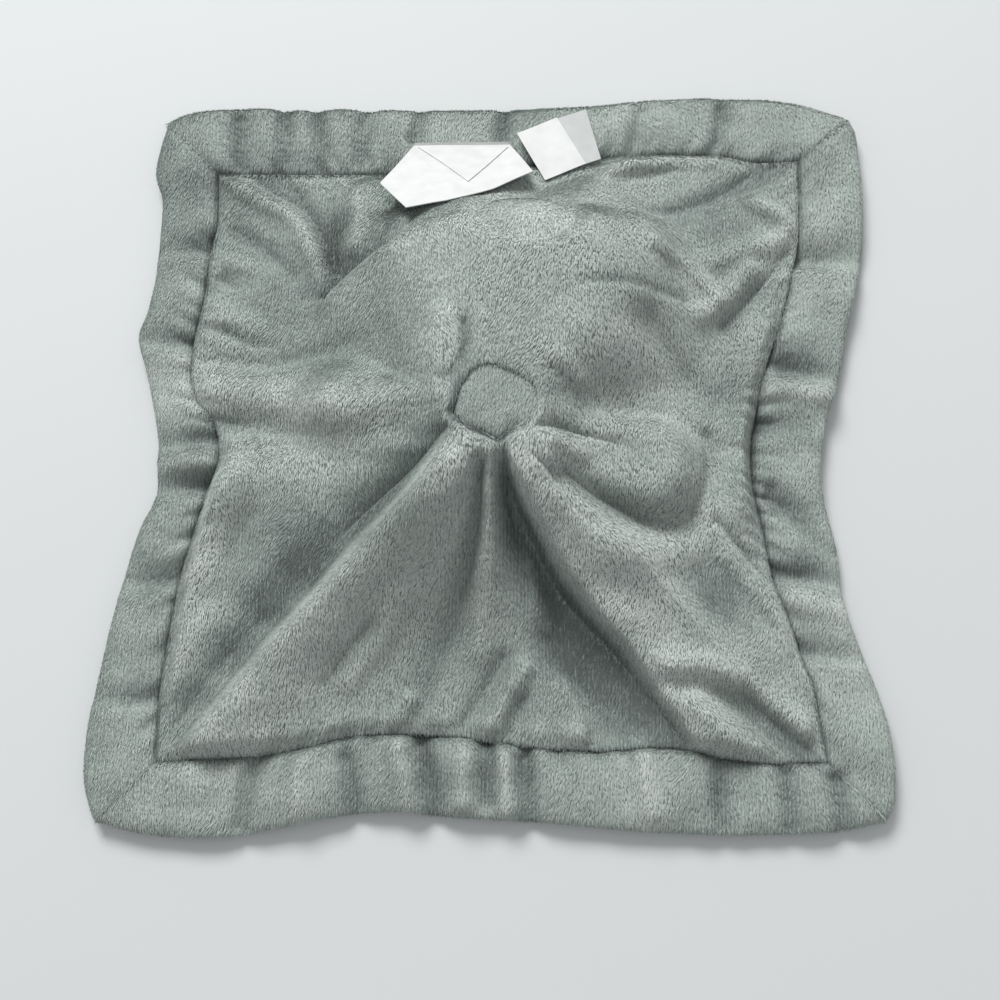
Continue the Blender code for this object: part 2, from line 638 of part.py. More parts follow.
def build_labels(satin):
    on_border = BORDER_HEIGHT + SEAT_GAP + LABEL_THICKNESS / 2
    over_it = on_border + LABEL_THICKNESS + SEAT_GAP
    fold_line = place(CARE_LABEL_PLACE_SHARE, on_border)
    tail = leaf(CARE_LABEL_WIDTH, -CARE_TAIL_LENGTH)
    flat_label("care_label_tail", tail, fold_line, CARE_LABEL_TURN, 0.0, satin)
    flap = [(x * CARE_LABEL_WIDTH, -y * CARE_LABEL_LENGTH) for x, y in CARE_FLAP_SHARES]
    hinge = place(CARE_LABEL_PLACE_SHARE, over_it)
    flat_label("care_label_flap", flap, hinge, CARE_LABEL_TURN, -CARE_LABEL_SLOPE, satin)
    back_hinge = place(SIZE_LABEL_PLACE_SHARE, BORDER_HEIGHT + SIZE_LABEL_RISE)
    front_hinge = back_hinge + Vector((0, 0, LABEL_THICKNESS + SEAT_GAP))
    along = Vector((math.cos(SIZE_LABEL_TURN), math.sin(SIZE_LABEL_TURN), 0))
    back_hinge += along * BACK_LABEL_SHIFT
    leaves = (("back", BACK_LABEL_LENGTH, back_hinge), ("front", SIZE_LABEL_LENGTH, front_hinge))
    for name, length, hinge in leaves:
        outline = leaf(SIZE_LABEL_WIDTH, length)
        flat_label("size_label_" + name, outline, hinge, SIZE_LABEL_TURN, SIZE_LABEL_SLOPE, satin)


clear_scene()
PARTS = new_collection("comfort_blanket")
CUTTERS = new_collection("cutters")
CUTTERS.hide_render = True


def main():
    plush = principled("plush", PLUSH_GREEN, 0.95)
    cream = principled("cream_plush", CREAM, 0.95)
    satin = principled("satin", SATIN_WHITE, 0.45)
    thread = principled("thread", THREAD_BROWN, 0.6)
    filling = principled("filling", FILLING_WHITE, 1.0)
    panel("back_panel", PLY_GAP / 2, plush)
    panel("front_panel", -PLY_GAP / 2 - CLOTH_THICKNESS, plush)
    for side in OUTER_SHARES:
        border(side, plush)
    build_neck(plush, thread)
    head = build_head(plush, filling) + build_face(cream, thread) + build_ears(plush, cream)
    hang_on("head_pivot", PIVOT, head)
    build_arm(-1, "left", plush, filling)
    build_arm(1, "right", plush, filling)
    build_labels(satin)


main()
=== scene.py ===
# %% [markdown]
# # A plush comfort blanket
#
# The object is a square of short-pile plush with a wide mitred border, gathered in its middle round
# the neck of a small bear that lies underneath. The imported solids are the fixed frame: every piece
# made here stands for one of them and moves with the same body.

# %% The frame
import math

import bmesh
import bpy
import numpy as np
from mathutils import Matrix, Vector, noise


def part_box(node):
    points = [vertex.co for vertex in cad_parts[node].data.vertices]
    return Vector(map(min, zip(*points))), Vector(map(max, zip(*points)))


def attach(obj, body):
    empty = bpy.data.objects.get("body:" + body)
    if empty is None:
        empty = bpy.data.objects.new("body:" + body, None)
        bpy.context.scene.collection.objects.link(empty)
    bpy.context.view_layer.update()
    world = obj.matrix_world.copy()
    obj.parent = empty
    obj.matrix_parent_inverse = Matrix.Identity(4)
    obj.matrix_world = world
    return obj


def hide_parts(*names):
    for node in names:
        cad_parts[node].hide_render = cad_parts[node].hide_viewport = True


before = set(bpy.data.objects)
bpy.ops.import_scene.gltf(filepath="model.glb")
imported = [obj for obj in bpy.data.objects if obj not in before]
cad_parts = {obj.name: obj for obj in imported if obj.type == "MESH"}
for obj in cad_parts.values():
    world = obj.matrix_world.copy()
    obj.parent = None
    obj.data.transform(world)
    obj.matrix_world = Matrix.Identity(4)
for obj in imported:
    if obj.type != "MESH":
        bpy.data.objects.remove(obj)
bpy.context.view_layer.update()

# %% [markdown]
# ## The camera
#
# The photograph looks almost straight down, from a little below the blanket. `sight` follows the
# line of sight through a place in the 1000 by 1000 picture down to a level, so that a fold can be
# drawn where the picture shows it and still lie on the cloth.

# %% Camera
CAMERA_PLACE = Vector((0.0045, -0.1335, 0.6401))
LOOK_AT = Vector((0.0045, -0.0206, 0.0))
LENS, SENSOR, PICTURE = 52.6, 36.0, 1000

camera = bpy.data.objects.new("camera", bpy.data.cameras.new("camera"))
camera.data.lens, camera.data.sensor_width = LENS, SENSOR
camera.location = CAMERA_PLACE
camera.rotation_euler = (LOOK_AT - CAMERA_PLACE).to_track_quat("-Z", "Y").to_euler()
bpy.context.scene.collection.objects.link(camera)
bpy.context.scene.camera = camera
bpy.context.view_layer.update()


def sight(px, py, z):
    """The place at height z that shows at a pixel."""
    ray = Vector((px - PICTURE / 2, PICTURE / 2 - py, 0)) * (SENSOR / LENS / PICTURE) - Vector((0, 0, 1))
    ray = camera.matrix_world.to_3x3() @ ray
    return CAMERA_PLACE + ray * ((z - CAMERA_PLACE.z) / ray.z)


print("middle of the picture:", [round(v, 4) for v in sight(500, 500, 0)])

# %% [markdown]
# ## Nodes from expressions
#
# Materials and Geometry Nodes are graphs. A `Wire` holds one output socket and turns Python
# arithmetic into Math nodes, so that `1 - mask * 0.3` reads as the formula it is. Every other node
# comes from `add_node`, which sets the node's options first and then its sockets.


# %% Wires and nodes
def add_node(tree, kind, settings=None, sockets=None):
    """A node of this kind, with its options set and its sockets given values or links."""
    node = tree.nodes.new(kind)
    for name, value in (settings or {}).items():
        if name == "stops":
            while len(node.color_ramp.elements) < len(value):
                node.color_ramp.elements.new(1.0)
            for element, (place, colour) in zip(node.color_ramp.elements, value):
                element.position, element.color = place, colour
        else:
            setattr(node, name, value)
    for key, value in (sockets or {}).items():
        if isinstance(value, Wire):
            tree.links.new(value.socket, node.inputs[key])
        else:
            node.inputs[key].default_value = value
    return Wire(node.outputs[0]) if node.outputs else node


class Wire:
    """An output socket that takes part in arithmetic."""

    def __init__(self, socket):
        self.socket, self.tree = socket, socket.id_data

    def out(self, key):
        return Wire(self.socket.node.outputs[key])

    def maths(self, operation, *values):
        return add_node(self.tree, "ShaderNodeMath", {"operation": operation}, dict(enumerate(values)))

    def __add__(self, other):
        return self.maths("ADD", self, other)

    __radd__ = __add__

    def __sub__(self, other):
        return self.maths("SUBTRACT", self, other)

    def __rsub__(self, other):
        return self.maths("SUBTRACT", other, self)

    def __mul__(self, other):
        return self.maths("MULTIPLY", self, other)

    __rmul__ = __mul__


# %% [markdown]
# ## Plush, satin, thread
#
# The plush is a knitted back with a dense, short pile. Seen from half a metre the pile is a mist
# of fine strokes over broad patches where it was brushed one way or another. The ground of the
# cloth carries both as noise on Object coordinates, and a Bump node gives the strokes their relief.


# %% Colours and the plush ground
def srgb(red, green, blue):
    """A colour written as on a screen, 0 to 255, as the linear values that a shader takes."""
    parts = [value / 255 for value in (red, green, blue)]
    return tuple(v / 12.92 if v <= 0.04045 else ((v + 0.055) / 1.055) ** 2.4 for v in parts) + (1.0,)


def new_material(name, **constants):
    """A material with these constant values set on its Principled BSDF."""
    material = bpy.data.materials.new(name)
    material.use_nodes = True
    shader = material.node_tree.nodes["Principled BSDF"]
    for key, value in constants.items():
        shader.inputs[key.replace("_", " ")].default_value = value
    material.diffuse_color = constants.get("Base_Color", (0.8, 0.8, 0.8, 1))
    return material, material.node_tree, shader


PLUSH_DEEP, PLUSH_MID, PLUSH_PALE = srgb(100, 110, 106), srgb(122, 132, 127), srgb(143, 152, 147)


def plush_ground(name, deep, mid, pale):
    """The cloth under the pile: broad brushed patches, fine strokes and their relief."""
    finish = {"Base_Color": mid, "Roughness": 0.95, "Sheen_Weight": 0.25, "Sheen_Roughness": 0.5}
    material, tree, shader = new_material(name, **finish)
    place = add_node(tree, "ShaderNodeTexCoord").out("Object")
    stretched = add_node(tree, "ShaderNodeMapping", {}, {"Vector": place, "Scale": (1.0, 0.32, 1.0)})
    patches = add_node(tree, "ShaderNodeTexNoise", {}, {"Vector": place, "Scale": 45.0, "Detail": 3.0})
    strokes = add_node(tree, "ShaderNodeTexNoise", {}, {"Vector": stretched, "Scale": 900.0, "Detail": 2.0})
    tone = patches * 0.55 + strokes * 0.45
    ramp = {"stops": ((0.36, deep), (0.50, mid), (0.64, pale))}
    colour = add_node(tree, "ShaderNodeValToRGB", ramp, {"Fac": tone})
    bump = add_node(tree, "ShaderNodeBump", {}, {"Strength": 0.5, "Distance": 0.0008, "Height": strokes})
    tree.links.new(colour.socket, shader.inputs["Base Color"])
    tree.links.new(bump.socket, shader.inputs["Normal"])
    return material


PLUSH = plush_ground("plush_ground", PLUSH_DEEP, PLUSH_MID, PLUSH_PALE)
CREAM = plush_ground("cream_ground", srgb(196, 188, 172), srgb(214, 207, 192), srgb(228, 222, 210))
print("grounds:", PLUSH.name, CREAM.name)

# %% [markdown]
# ## The lie of the cloth
#
# Both plies are gathered at the neck, 55 mm up, and sewn to the border near the floor. Between
# them the cloth lies over the bear like a tent over its poles: it is the smooth largest of a
# falling tent and of one soft bell for each limb. Numbers here are the solids' own.

# %% Sizes that the cloth follows
SIDE = 0.356
NECK_LOW, NECK_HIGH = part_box("neck_patch")
NECK_X, NECK_Y = (NECK_LOW.x + NECK_HIGH.x) / 2, (NECK_LOW.y + NECK_HIGH.y) / 2
TENT_TOP, SEAM_TOP = 0.0556, 0.0045
CLOTH_THICK, PLY_GAP = 0.0022, 0.0006
HEAD_PLACE, HEAD_SIZE = Vector((0.012848, 0.061324, 0.0280)), Vector((0.052, 0.043, 0.0225))
EAR_PLACES = [HEAD_PLACE + Vector((side * 0.042, 0.023, 0)) for side in (-1, 1)]
EAR_SIZE = Vector((0.0165, 0.0165, 0.0050))
SHOULDERS = [Vector((-0.015652, -0.000676, 0.019634)), Vector((0.021348, -0.000676, 0.019634))]
PAWS = [Vector((-0.058302, 0.016555, 0.0145)), Vector((0.065981, -0.011804, 0.0145))]
SHOULDER_SIZE, PAW_SIZE = 0.011, 0.013
CARE_HINGE, CARE_SLOPE = (-0.012816, 0.140264, 0.0112), math.radians(39)
CARE_AXIS = (-0.999391, -0.034899, 0)
SIZE_HINGE, SIZE_SLOPE = (0.03204, 0.131008, 0.0178), math.radians(16)
SIZE_AXIS = (0.939693, 0.34202, 0)
print("neck:", round(NECK_X, 4), round(NECK_Y, 4))

# %% Heights of the cloth
OVER_TOY, BESIDE_HEAD, BESIDE_LIMB = 0.0051, 0.004, 0.007


def bell(x, y, centre, half_x, half_y, top, steep=4.5, spread=1.18):
    """The height of cloth over a rounded form."""
    away = np.hypot((x - centre[0]) / half_x, (y - centre[1]) / half_y)
    return (top - SEAM_TOP) / (1 + (away / spread) ** steep)


def over_toy(x, y):
    """Bells over the head, the ears and the arms."""
    head_top, ear_top = 0.0505 + OVER_TOY, 0.033 + OVER_TOY
    heights = [bell(x, y, HEAD_PLACE, HEAD_SIZE.x + BESIDE_HEAD, HEAD_SIZE.y + BESIDE_HEAD, head_top)]
    ear_half = EAR_SIZE.x + BESIDE_LIMB
    heights += [bell(x, y, ear, ear_half, ear_half, ear_top) for ear in EAR_PLACES]
    for start, end in zip(SHOULDERS, PAWS):
        run = end - start
        share = np.clip(((x - start.x) * run.x + (y - start.y) * run.y) / (run.x**2 + run.y**2), 0, 1)
        half = SHOULDER_SIZE + (PAW_SIZE - SHOULDER_SIZE) * share
        centre = (start.x + run.x * share, start.y + run.y * share)
        top = start.z + run.z * share + half + OVER_TOY
        heights.append(bell(x, y, centre, half + BESIDE_LIMB, half + BESIDE_LIMB, top))
    return heights


def smooth_line(points, count):
    """Equal steps on a smooth curve through these points."""
    knots = np.array(points, float)
    ends = np.vstack([2 * knots[0] - knots[1], knots, 2 * knots[-1] - knots[-2]])
    dense = []
    for a, b, c, d in zip(ends, ends[1:], ends[2:], ends[3:]):
        bend, twist = 2 * a - 5 * b + 4 * c - d, 3 * b - a - 3 * c + d
        for t in np.linspace(0, 1, 12, endpoint=False):
            dense.append(0.5 * (2 * b + (c - a) * t + bend * t**2 + twist * t**3))
    dense = np.array(dense + [knots[-1]])
    along = np.concatenate([[0], np.cumsum(np.linalg.norm(np.diff(dense, axis=0), axis=1))])
    steps = np.linspace(0, along[-1], count + 1)
    return np.column_stack([np.interp(steps, along, column) for column in dense.T])


# %% [markdown]
# The square isn't square any more: the gathers draw its sides in. Two closed outlines, as shares of
# the uncut side, say where the border ends and where the cloth is sewn to it.

# %% Outlines of the border and of the seam
OUTER = {
    "top": (
        (-0.417, 0.437), (-0.385, 0.449), (-0.32, 0.454), (-0.22, 0.453), (-0.02, 0.453),
        (0.12, 0.457), (0.20, 0.465), (0.30, 0.468), (0.40, 0.460), (0.462, 0.440),
    ),
    "right": (
        (0.462, 0.440), (0.474, 0.405), (0.475, 0.275), (0.451, 0.156), (0.436, 0.09),
        (0.420, 0.04), (0.411, -0.015), (0.413, -0.06), (0.428, -0.13), (0.432, -0.19),
        (0.456, -0.262), (0.473, -0.31), (0.485, -0.37), (0.484, -0.42), (0.475, -0.448),
    ),
    "bottom": (
        (0.475, -0.448), (0.41, -0.460), (0.30, -0.464), (0.18, -0.460), (0.07, -0.450),
        (-0.05, -0.443), (-0.11, -0.437), (-0.185, -0.443), (-0.26, -0.458), (-0.337, -0.468),
        (-0.414, -0.462), (-0.472, -0.447),
    ),
    "left": (
        (-0.472, -0.447), (-0.485, -0.404), (-0.485, -0.348), (-0.472, -0.271), (-0.459, -0.205),
        (-0.433, -0.106), (-0.416, -0.066), (-0.412, -0.034), (-0.415, 0.03), (-0.432, 0.107),
        (-0.443, 0.149), (-0.432, 0.183), (-0.423, 0.246), (-0.420, 0.328), (-0.430, 0.371),
        (-0.417, 0.437),
    ),
}
SEAM = {
    "top": (
        (-0.350, 0.365), (-0.28, 0.365), (-0.14, 0.365), (-0.05, 0.371), (0.05, 0.377),
        (0.13, 0.384), (0.19, 0.391), (0.29, 0.390), (0.345, 0.381), (0.397, 0.383),
    ),
    "right": (
        (0.397, 0.383), (0.396, 0.31), (0.391, 0.26), (0.371, 0.178), (0.348, 0.109),
        (0.333, 0.05), (0.325, 0.005), (0.326, -0.047), (0.338, -0.107), (0.347, -0.16),
        (0.364, -0.206), (0.380, -0.26), (0.392, -0.29), (0.398, -0.332), (0.406, -0.381),
    ),
    "bottom": (
        (0.406, -0.381), (0.33, -0.382), (0.27, -0.374), (0.22, -0.364), (0.13, -0.368),
        (0.05, -0.363), (-0.05, -0.351), (-0.156, -0.349), (-0.224, -0.364), (-0.281, -0.373),
        (-0.34, -0.377), (-0.400, -0.380),
    ),
    "left": (
        (-0.400, -0.380), (-0.400, -0.31), (-0.393, -0.245), (-0.384, -0.182), (-0.371, -0.123),
        (-0.353, -0.06), (-0.338, -0.008), (-0.344, 0.036), (-0.364, 0.06), (-0.375, 0.093),
        (-0.374, 0.139), (-0.363, 0.20), (-0.357, 0.256), (-0.349, 0.30), (-0.350, 0.365),
    ),
}
SIDES = ("top", "right", "bottom", "left")
SPOKES = 140
seam_line = np.vstack([smooth_line(SEAM[side], SPOKES)[:-1] for side in SIDES]) * SIDE
print("seam:", len(seam_line), "spokes")

# %% Outline of the patch, in the picture and at its own height
PATCH_PIXELS = (
    (453, 402), (452, 414), (466, 425), (484, 433), (498, 439), (507, 433), (525, 422), (538, 408),
    (538, 391), (532, 380), (511, 368), (490, 361), (475, 364), (464, 376), (457, 389),
)
patch_corners = [sight(px, py, 0.0560).xy for px, py in PATCH_PIXELS]
patch_line = smooth_line(patch_corners + patch_corners[:1], 96)[:-1]
print("patch outline:", len(patch_line), "points")


# %% Distances from the neck
def around(line, x, y):
    """How far a closed line lies from the neck, in the direction of each place."""
    turn = np.arctan2(line[:, 1] - NECK_Y, line[:, 0] - NECK_X)
    reach = np.hypot(line[:, 1] - NECK_Y, line[:, 0] - NECK_X)
    order = np.argsort(turn)
    return np.interp(np.arctan2(y - NECK_Y, x - NECK_X), turn[order], reach[order], period=2 * math.pi)


def row_share(x, y):
    """0 at the patch's edge and 1 at the seam."""
    rim, edge = around(patch_line, x, y), around(seam_line, x, y)
    return np.clip((np.hypot(x - NECK_X, y - NECK_Y) - rim) / (edge - rim), 0, 1)


# %% [markdown]
# ## Folds
#
# A fold is a stroke: a line drawn on the picture, a rise in millimetres at its two ends, and how
# far it reaches to its left and to its right. A ridge rises, a valley or a crease falls, and a
# sharp crease has a pointed floor. `carve` adds up what all strokes do at each place.

# %% Strokes
MM = 0.001
# (rise at the start and end, reach to the left and right, sharpness 1 or 2, line in the picture)
BROAD_FOLDS = (
    ((15.0, 9.0), (22, 7), 2, ((448, 470), (400, 520), (340, 590), (268, 664), (205, 737))),
    ((-5.0, -10.0), (6, 14), 2, ((424, 460), (398, 494), (343, 540), (258, 640), (184, 730))),
    ((11.0, 3.0), (6.5, 5.5), 2, ((490, 452), (488, 530), (483, 600), (480, 650))),
    ((-5.0, -3.0), (3, 8), 2, ((479, 470), (474, 540), (450, 630), (420, 715))),
    ((7.0, 1.5), (9, 12), 2, ((466, 448), (450, 510), (428, 580))),
    ((-10.0, -10.0), (4, 14), 2, ((501, 448), (507, 485), (528, 530), (560, 592), (612, 664), (672, 742))),
    ((12.5, 9.5), (20, 4.5), 2, ((516, 458), (540, 520), (580, 586), (636, 652), (694, 738))),
    ((-4.0, -5.0), (6, 10), 2, ((548, 640), (590, 690), (620, 742))),
    ((4.0, 6.0), (16, 6), 2, ((430, 448), (350, 460), (270, 470), (220, 496))),
    ((3.0, 4.5), (10, 9), 2, ((436, 404), (360, 410), (280, 402), (218, 392))),
    ((-1.0, -4.0), (4, 7), 2, ((340, 434), (280, 433), (222, 428))),
    ((5.0, 4.0), (10, 12), 2, ((436, 350), (412, 384), (366, 404))),
    ((7.0, 6.0), (20, 4), 2, ((221, 484), (200, 560), (185, 640), (172, 712))),
    ((-3.0, -3.0), (8, 8), 2, ((250, 520), (236, 560), (214, 600))),
    ((-5.5, -2.0), (7, 9), 2, ((650, 320), (676, 368), (706, 408))),
    ((6.5, 6.5), (14, 11), 2, ((620, 556), (694, 546), (738, 500), (748, 436))),
    ((4.0, 4.0), (10, 10), 2, ((600, 432), (650, 420), (704, 424))),
    ((-5.0, -2.5), (6, 6), 2, ((566, 478), (605, 508), (640, 524), (684, 528))),
    ((4.0, 3.0), (8, 8), 2, ((560, 500), (620, 556), (680, 612), (740, 668))),
    ((-5.0, -4.0), (8, 6), 2, ((664, 682), (700, 690), (738, 712), (792, 752))),
    ((5.0, 5.0), (6, 6), 2, ((668, 668), (716, 672), (760, 700), (800, 728))),
    ((4.0, 4.0), (8, 5), 2, ((694, 704), (730, 740), (762, 760))),
)
print("broad folds:", len(BROAD_FOLDS))

# %% Small folds and creases
FOLDS = (
    ((-3.0, -3.0), (5.0, 5.0), 2, ((516, 196), (548, 188), (590, 172))),
    ((-11.2, -2.5), (5.0, 7.0), 1, ((446, 428), (413, 466), (370, 506), (336, 540))),
    ((-8.8, -1.9), (2.2, 7.0), 1, ((482, 466), (480, 520), (472, 585))),
    ((-10.0, -6.2), (2.2, 9.0), 1, ((503, 446), (509, 480), (530, 526), (564, 592), (622, 662), (686, 744))),
    ((-6.9, -1.2), (4.0, 4.0), 1, ((522, 450), (548, 474), (572, 512), (603, 536))),
    ((-3.8, -2.5), (5.0, 4.0), 1, ((563, 473), (600, 500), (640, 522))),
    ((-6.9, -1.2), (3.6, 3.6), 1, ((528, 428), (556, 428), (586, 438), (622, 446))),
    ((3.0, 2.0), (3.0, 3.0), 2, ((524, 440), (552, 444), (580, 456))),
    ((-2.0, -2.0), (3.0, 3.0), 2, ((704, 440), (706, 478), (690, 516))),
    ((-2.5, -2.0), (2.6, 2.6), 2, ((713, 524), (738, 552), (766, 584))),
    ((3.0, 2.5), (6.0, 4.0), 2, ((724, 560), (760, 600), (790, 640))),
    ((-6.2, -5.0), (3.0, 6.0), 1, ((740, 692), (770, 718), (802, 754))),
    ((5.5, 3.0), (2.2, 10.0), 2, ((334, 296), (358, 272), (393, 245), (430, 226), (470, 216))),
    ((-9.0, -5.5), (10.0, 2.2), 1, ((326, 296), (352, 268), (388, 241), (412, 216))),
    ((-6.4, -6.4), (5.0, 4.0), 1, ((264, 184), (300, 205), (322, 235), (334, 268))),
    ((4.8, 4.8), (5.0, 5.0), 2, ((225, 183), (262, 202), (296, 224), (316, 262), (322, 288))),
    ((4.6, 4.6), (5.0, 4.0), 2, ((356, 196), (358, 216), (352, 246))),
    ((-1.2, -4.2), (4.0, 4.0), 2, ((330, 206), (332, 232), (334, 258))),
    ((-4.2, -3.2), (4.0, 4.0), 2, ((390, 205), (392, 222), (384, 240))),
    ((-6.4, -1.6), (3.5, 3.5), 1, ((211, 282), (226, 284), (240, 290))),
    ((3.2, 2.2), (4.5, 4.5), 2, ((212, 268), (232, 266), (250, 270))),
    ((-3.2, -2.6), (4.5, 4.5), 2, ((236, 236), (262, 250), (292, 276))),
    ((2.5, 1.8), (5.0, 5.0), 2, ((204, 320), (232, 322), (257, 332))),
    ((-2.8, -2.0), (5.0, 4.0), 2, ((199, 362), (256, 366), (316, 356), (350, 344))),
    ((-2.2, -1.2), (3.0, 3.0), 2, ((226, 332), (250, 345), (276, 348))),
    ((-3.8, -4.2), (5.0, 7.0), 2, ((584, 200), (640, 212), (700, 206), (770, 172))),
    ((3.8, 4.2), (5.0, 4.0), 2, ((612, 172), (650, 163), (690, 158), (738, 160))),
    ((-1.0, -1.4), (4.0, 4.0), 2, ((630, 180), (656, 176), (680, 168))),
    ((3.2, 3.2), (4.0, 4.0), 2, ((752, 204), (776, 216), (792, 228))),
    ((3.5, 3.5), (5.0, 5.0), 2, ((716, 262), (746, 250), (776, 244), (792, 236))),
    ((-1.2, -1.0), (2.6, 2.6), 2, ((584, 282), (640, 284), (684, 302))),
    ((2.5, 3.0), (4.0, 4.0), 2, ((655, 244), (686, 268), (716, 300))),
    ((-5.0, -5.0), (5.0, 5.0), 1, ((722, 326), (756, 292), (788, 256))),
    ((3.8, 3.0), (5.0, 5.0), 2, ((700, 316), (724, 304), (748, 272))),
    ((-4.0, -9.0), (2.6, 3.0), 1, ((464, 322), (466, 345), (462, 366), (456, 388))),
    ((3.4, 2.4), (4.5, 4.5), 2, ((479, 322), (481, 350), (479, 370))),
    ((4.6, 5.0), (6.0, 6.0), 2, ((446, 322), (447, 350), (438, 382))),
    ((-2.2, -1.8), (4.0, 4.0), 2, ((392, 372), (416, 384), (440, 384))),
    ((3.0, 3.0), (4.0, 4.0), 2, ((540, 352), (560, 360), (576, 380))),
    ((-5.0, -1.9), (4.0, 4.0), 1, ((366, 626), (345, 655), (328, 682))),
    ((-2.5, -1.8), (5.0, 5.0), 2, ((330, 560), (300, 600), (270, 620))),
    ((2.5, 2.5), (5.0, 5.0), 2, ((400, 600), (384, 640), (352, 680))),
    ((3.0, 3.0), (4.0, 4.0), 2, ((410, 700), (396, 720), (384, 735))),
    ((3.0, 3.0), (4.0, 4.0), 2, ((524, 670), (506, 700), (484, 734))),
    ((-3.0, -2.5), (4.0, 4.0), 2, ((502, 660), (486, 690), (462, 728))),
    ((-2.8, -2.8), (4.0, 4.0), 2, ((520, 700), (512, 728), (506, 745))),
    ((3.0, 3.0), (4.5, 4.5), 2, ((566, 690), (580, 722), (578, 745))),
    ((2.2, 1.8), (4.0, 4.0), 2, ((532, 560), (536, 600), (545, 625))),
    ((-1.0, -1.0), (5.0, 5.0), 2, ((240, 480), (250, 516), (236, 560))),
)

print("small folds:", len(FOLDS))

# %% [markdown]
# A stroke is drawn on the picture but lies on the cloth, whose height isn't known until its place
# is. So the place is found in a few rounds: follow the line of sight to a level, take the cloth's
# height there as the next level, and look again.


# %% Laying strokes on the cloth
def lay_of_cloth(x, y):
    """The cloth's middle height before its folds."""
    row = row_share(x, y)
    full = TENT_TOP - SEAM_TOP
    swells = [full * (1 - row) ** 2.1] + over_toy(x, y)
    height = np.minimum(full, sum(np.maximum(swell, 0) ** 7 for swell in swells) ** (1 / 7))
    return row, height


def on_cloth(px, py):
    """The place on the unfolded cloth that shows at a pixel."""
    z = 0.02
    for _ in range(6):
        place = sight(px, py, z)
        z = SEAM_TOP + float(lay_of_cloth(np.array([place.x]), np.array([place.y]))[1][0])
    return place.x, place.y


def drawn(strokes):
    """Strokes with their lines laid on the cloth, in metres."""
    laid = []
    for rise, reach, sharp, pixels in strokes:
        line = smooth_line([on_cloth(*pixel) for pixel in pixels], 3 * (len(pixels) - 1))
        laid.append((np.array(rise) * MM, np.array(reach) * MM, sharp, line))
    return laid


def carve(x, y, strokes):
    """The rise and fall of all these strokes at each place."""
    total = np.zeros_like(x)
    for rise, reach, sharp, line in strokes:
        margin = reach.max() * (2.6 if sharp == 2 else 5)
        low, high = line.min(axis=0) - margin, line.max(axis=0) + margin
        near = np.flatnonzero((x > low[0]) & (x < high[0]) & (y > low[1]) & (y < high[1]))
        if not len(near):
            continue
        nx, ny = x[near], y[near]
        nearest, side, along = np.full_like(nx, 1e9), np.zeros_like(nx), np.zeros_like(nx)
        for step, (start, end) in enumerate(zip(line, line[1:])):
            run = end - start
            share = np.clip(((nx - start[0]) * run[0] + (ny - start[1]) * run[1]) / (run @ run), 0, 1)
            away_x, away_y = nx - start[0] - share * run[0], ny - start[1] - share * run[1]
            away = np.hypot(away_x, away_y)
            turn = (away_x * run[1] - away_y * run[0]) / (np.hypot(*run) * away + 1e-9)
            closer = away < nearest
            nearest = np.where(closer, away, nearest)
            side = np.where(closer, turn, side)
            along = np.where(closer, (step + share) / (len(line) - 1), along)
        width = reach[0] + (reach[1] - reach[0]) * (0.5 + 0.5 * side)
        total[near] += np.interp(along, (0, 1), rise) * np.exp(-((nearest / width) ** sharp))
    return total


broad, fine = drawn(BROAD_FOLDS), drawn(FOLDS)
print("strokes:", len(broad) + len(fine))


# %% [markdown]
# Stitching and gathers add their own small forms. The seam draws the plush into puckers, the patch
# holds the cloth down and puffs it up just beside itself, and soft noise crumples the rest. The
# cloth also stays under both labels, which need room to lie and to turn.

# %% Puckers, gathers and room for the labels
def crumple(x, y, size, seed):
    """Soft noise from -1 to 1, with waves of about this size."""
    return np.array([noise.noise(Vector((a / size, b / size, seed))) for a, b in zip(x, y)])


def noise_round(x, y, waves, seed):
    """Soft noise that changes with the direction from the neck."""
    turn = np.arctan2(y - NECK_Y, x - NECK_X)
    return np.array([noise.noise(Vector((waves * math.cos(t), waves * math.sin(t), seed))) for t in turn])


def gathered_at(x, y):
    """How tightly the cloth is drawn in round the patch: 1 at its lower left, little opposite."""
    turn = np.arctan2(y - NECK_Y, x - NECK_X)
    return np.clip(0.25 + np.cos(turn + math.radians(125)), 0.08, 1)


def past_line(line, x, y):
    """How far outside a closed line a place is, measured away from the neck."""
    return np.hypot(x - NECK_X, y - NECK_Y) - around(line, x, y)


def puckers(x, y):
    """Small gathers that the stitching draws on both sides of the seam."""
    from_seam = past_line(seam_line, x, y)
    return noise_round(x, y, 26, 50.0) * np.exp(-((from_seam / 0.009) ** 2)), from_seam


def past_range(value, middle, half):
    """How far a value lies outside a range."""
    return np.clip(np.abs(value - middle) - half, 0, None)


def beside_care_label(x, y):
    """How far a place is from the strip that the care label covers, lying down or turned over."""
    return np.hypot(past_range(x, CARE_HINGE[0] + 0.002, 0.031), np.clip(0.108 - y, 0, None))


def under_care_label(x, y):
    """The height of the care label's plane at each place, and more beside it."""
    plane = CARE_HINGE[2] + (CARE_HINGE[1] - y) * math.tan(CARE_SLOPE)
    return plane + beside_care_label(x, y)


def under_size_label(x, y):
    """The height of the small label's plane at each place, and more beside it."""
    east, north = x - SIZE_HINGE[0], y - SIZE_HINGE[1]
    along = east * SIZE_AXIS[0] + north * SIZE_AXIS[1]
    inward = east * SIZE_AXIS[1] - north * SIZE_AXIS[0]
    beside = np.hypot(past_range(along, 0.0038, 0.0175), past_range(inward, -0.0080, 0.0165))
    return SIZE_HINGE[2] + inward * math.tan(SIZE_SLOPE) + 0.7 * beside


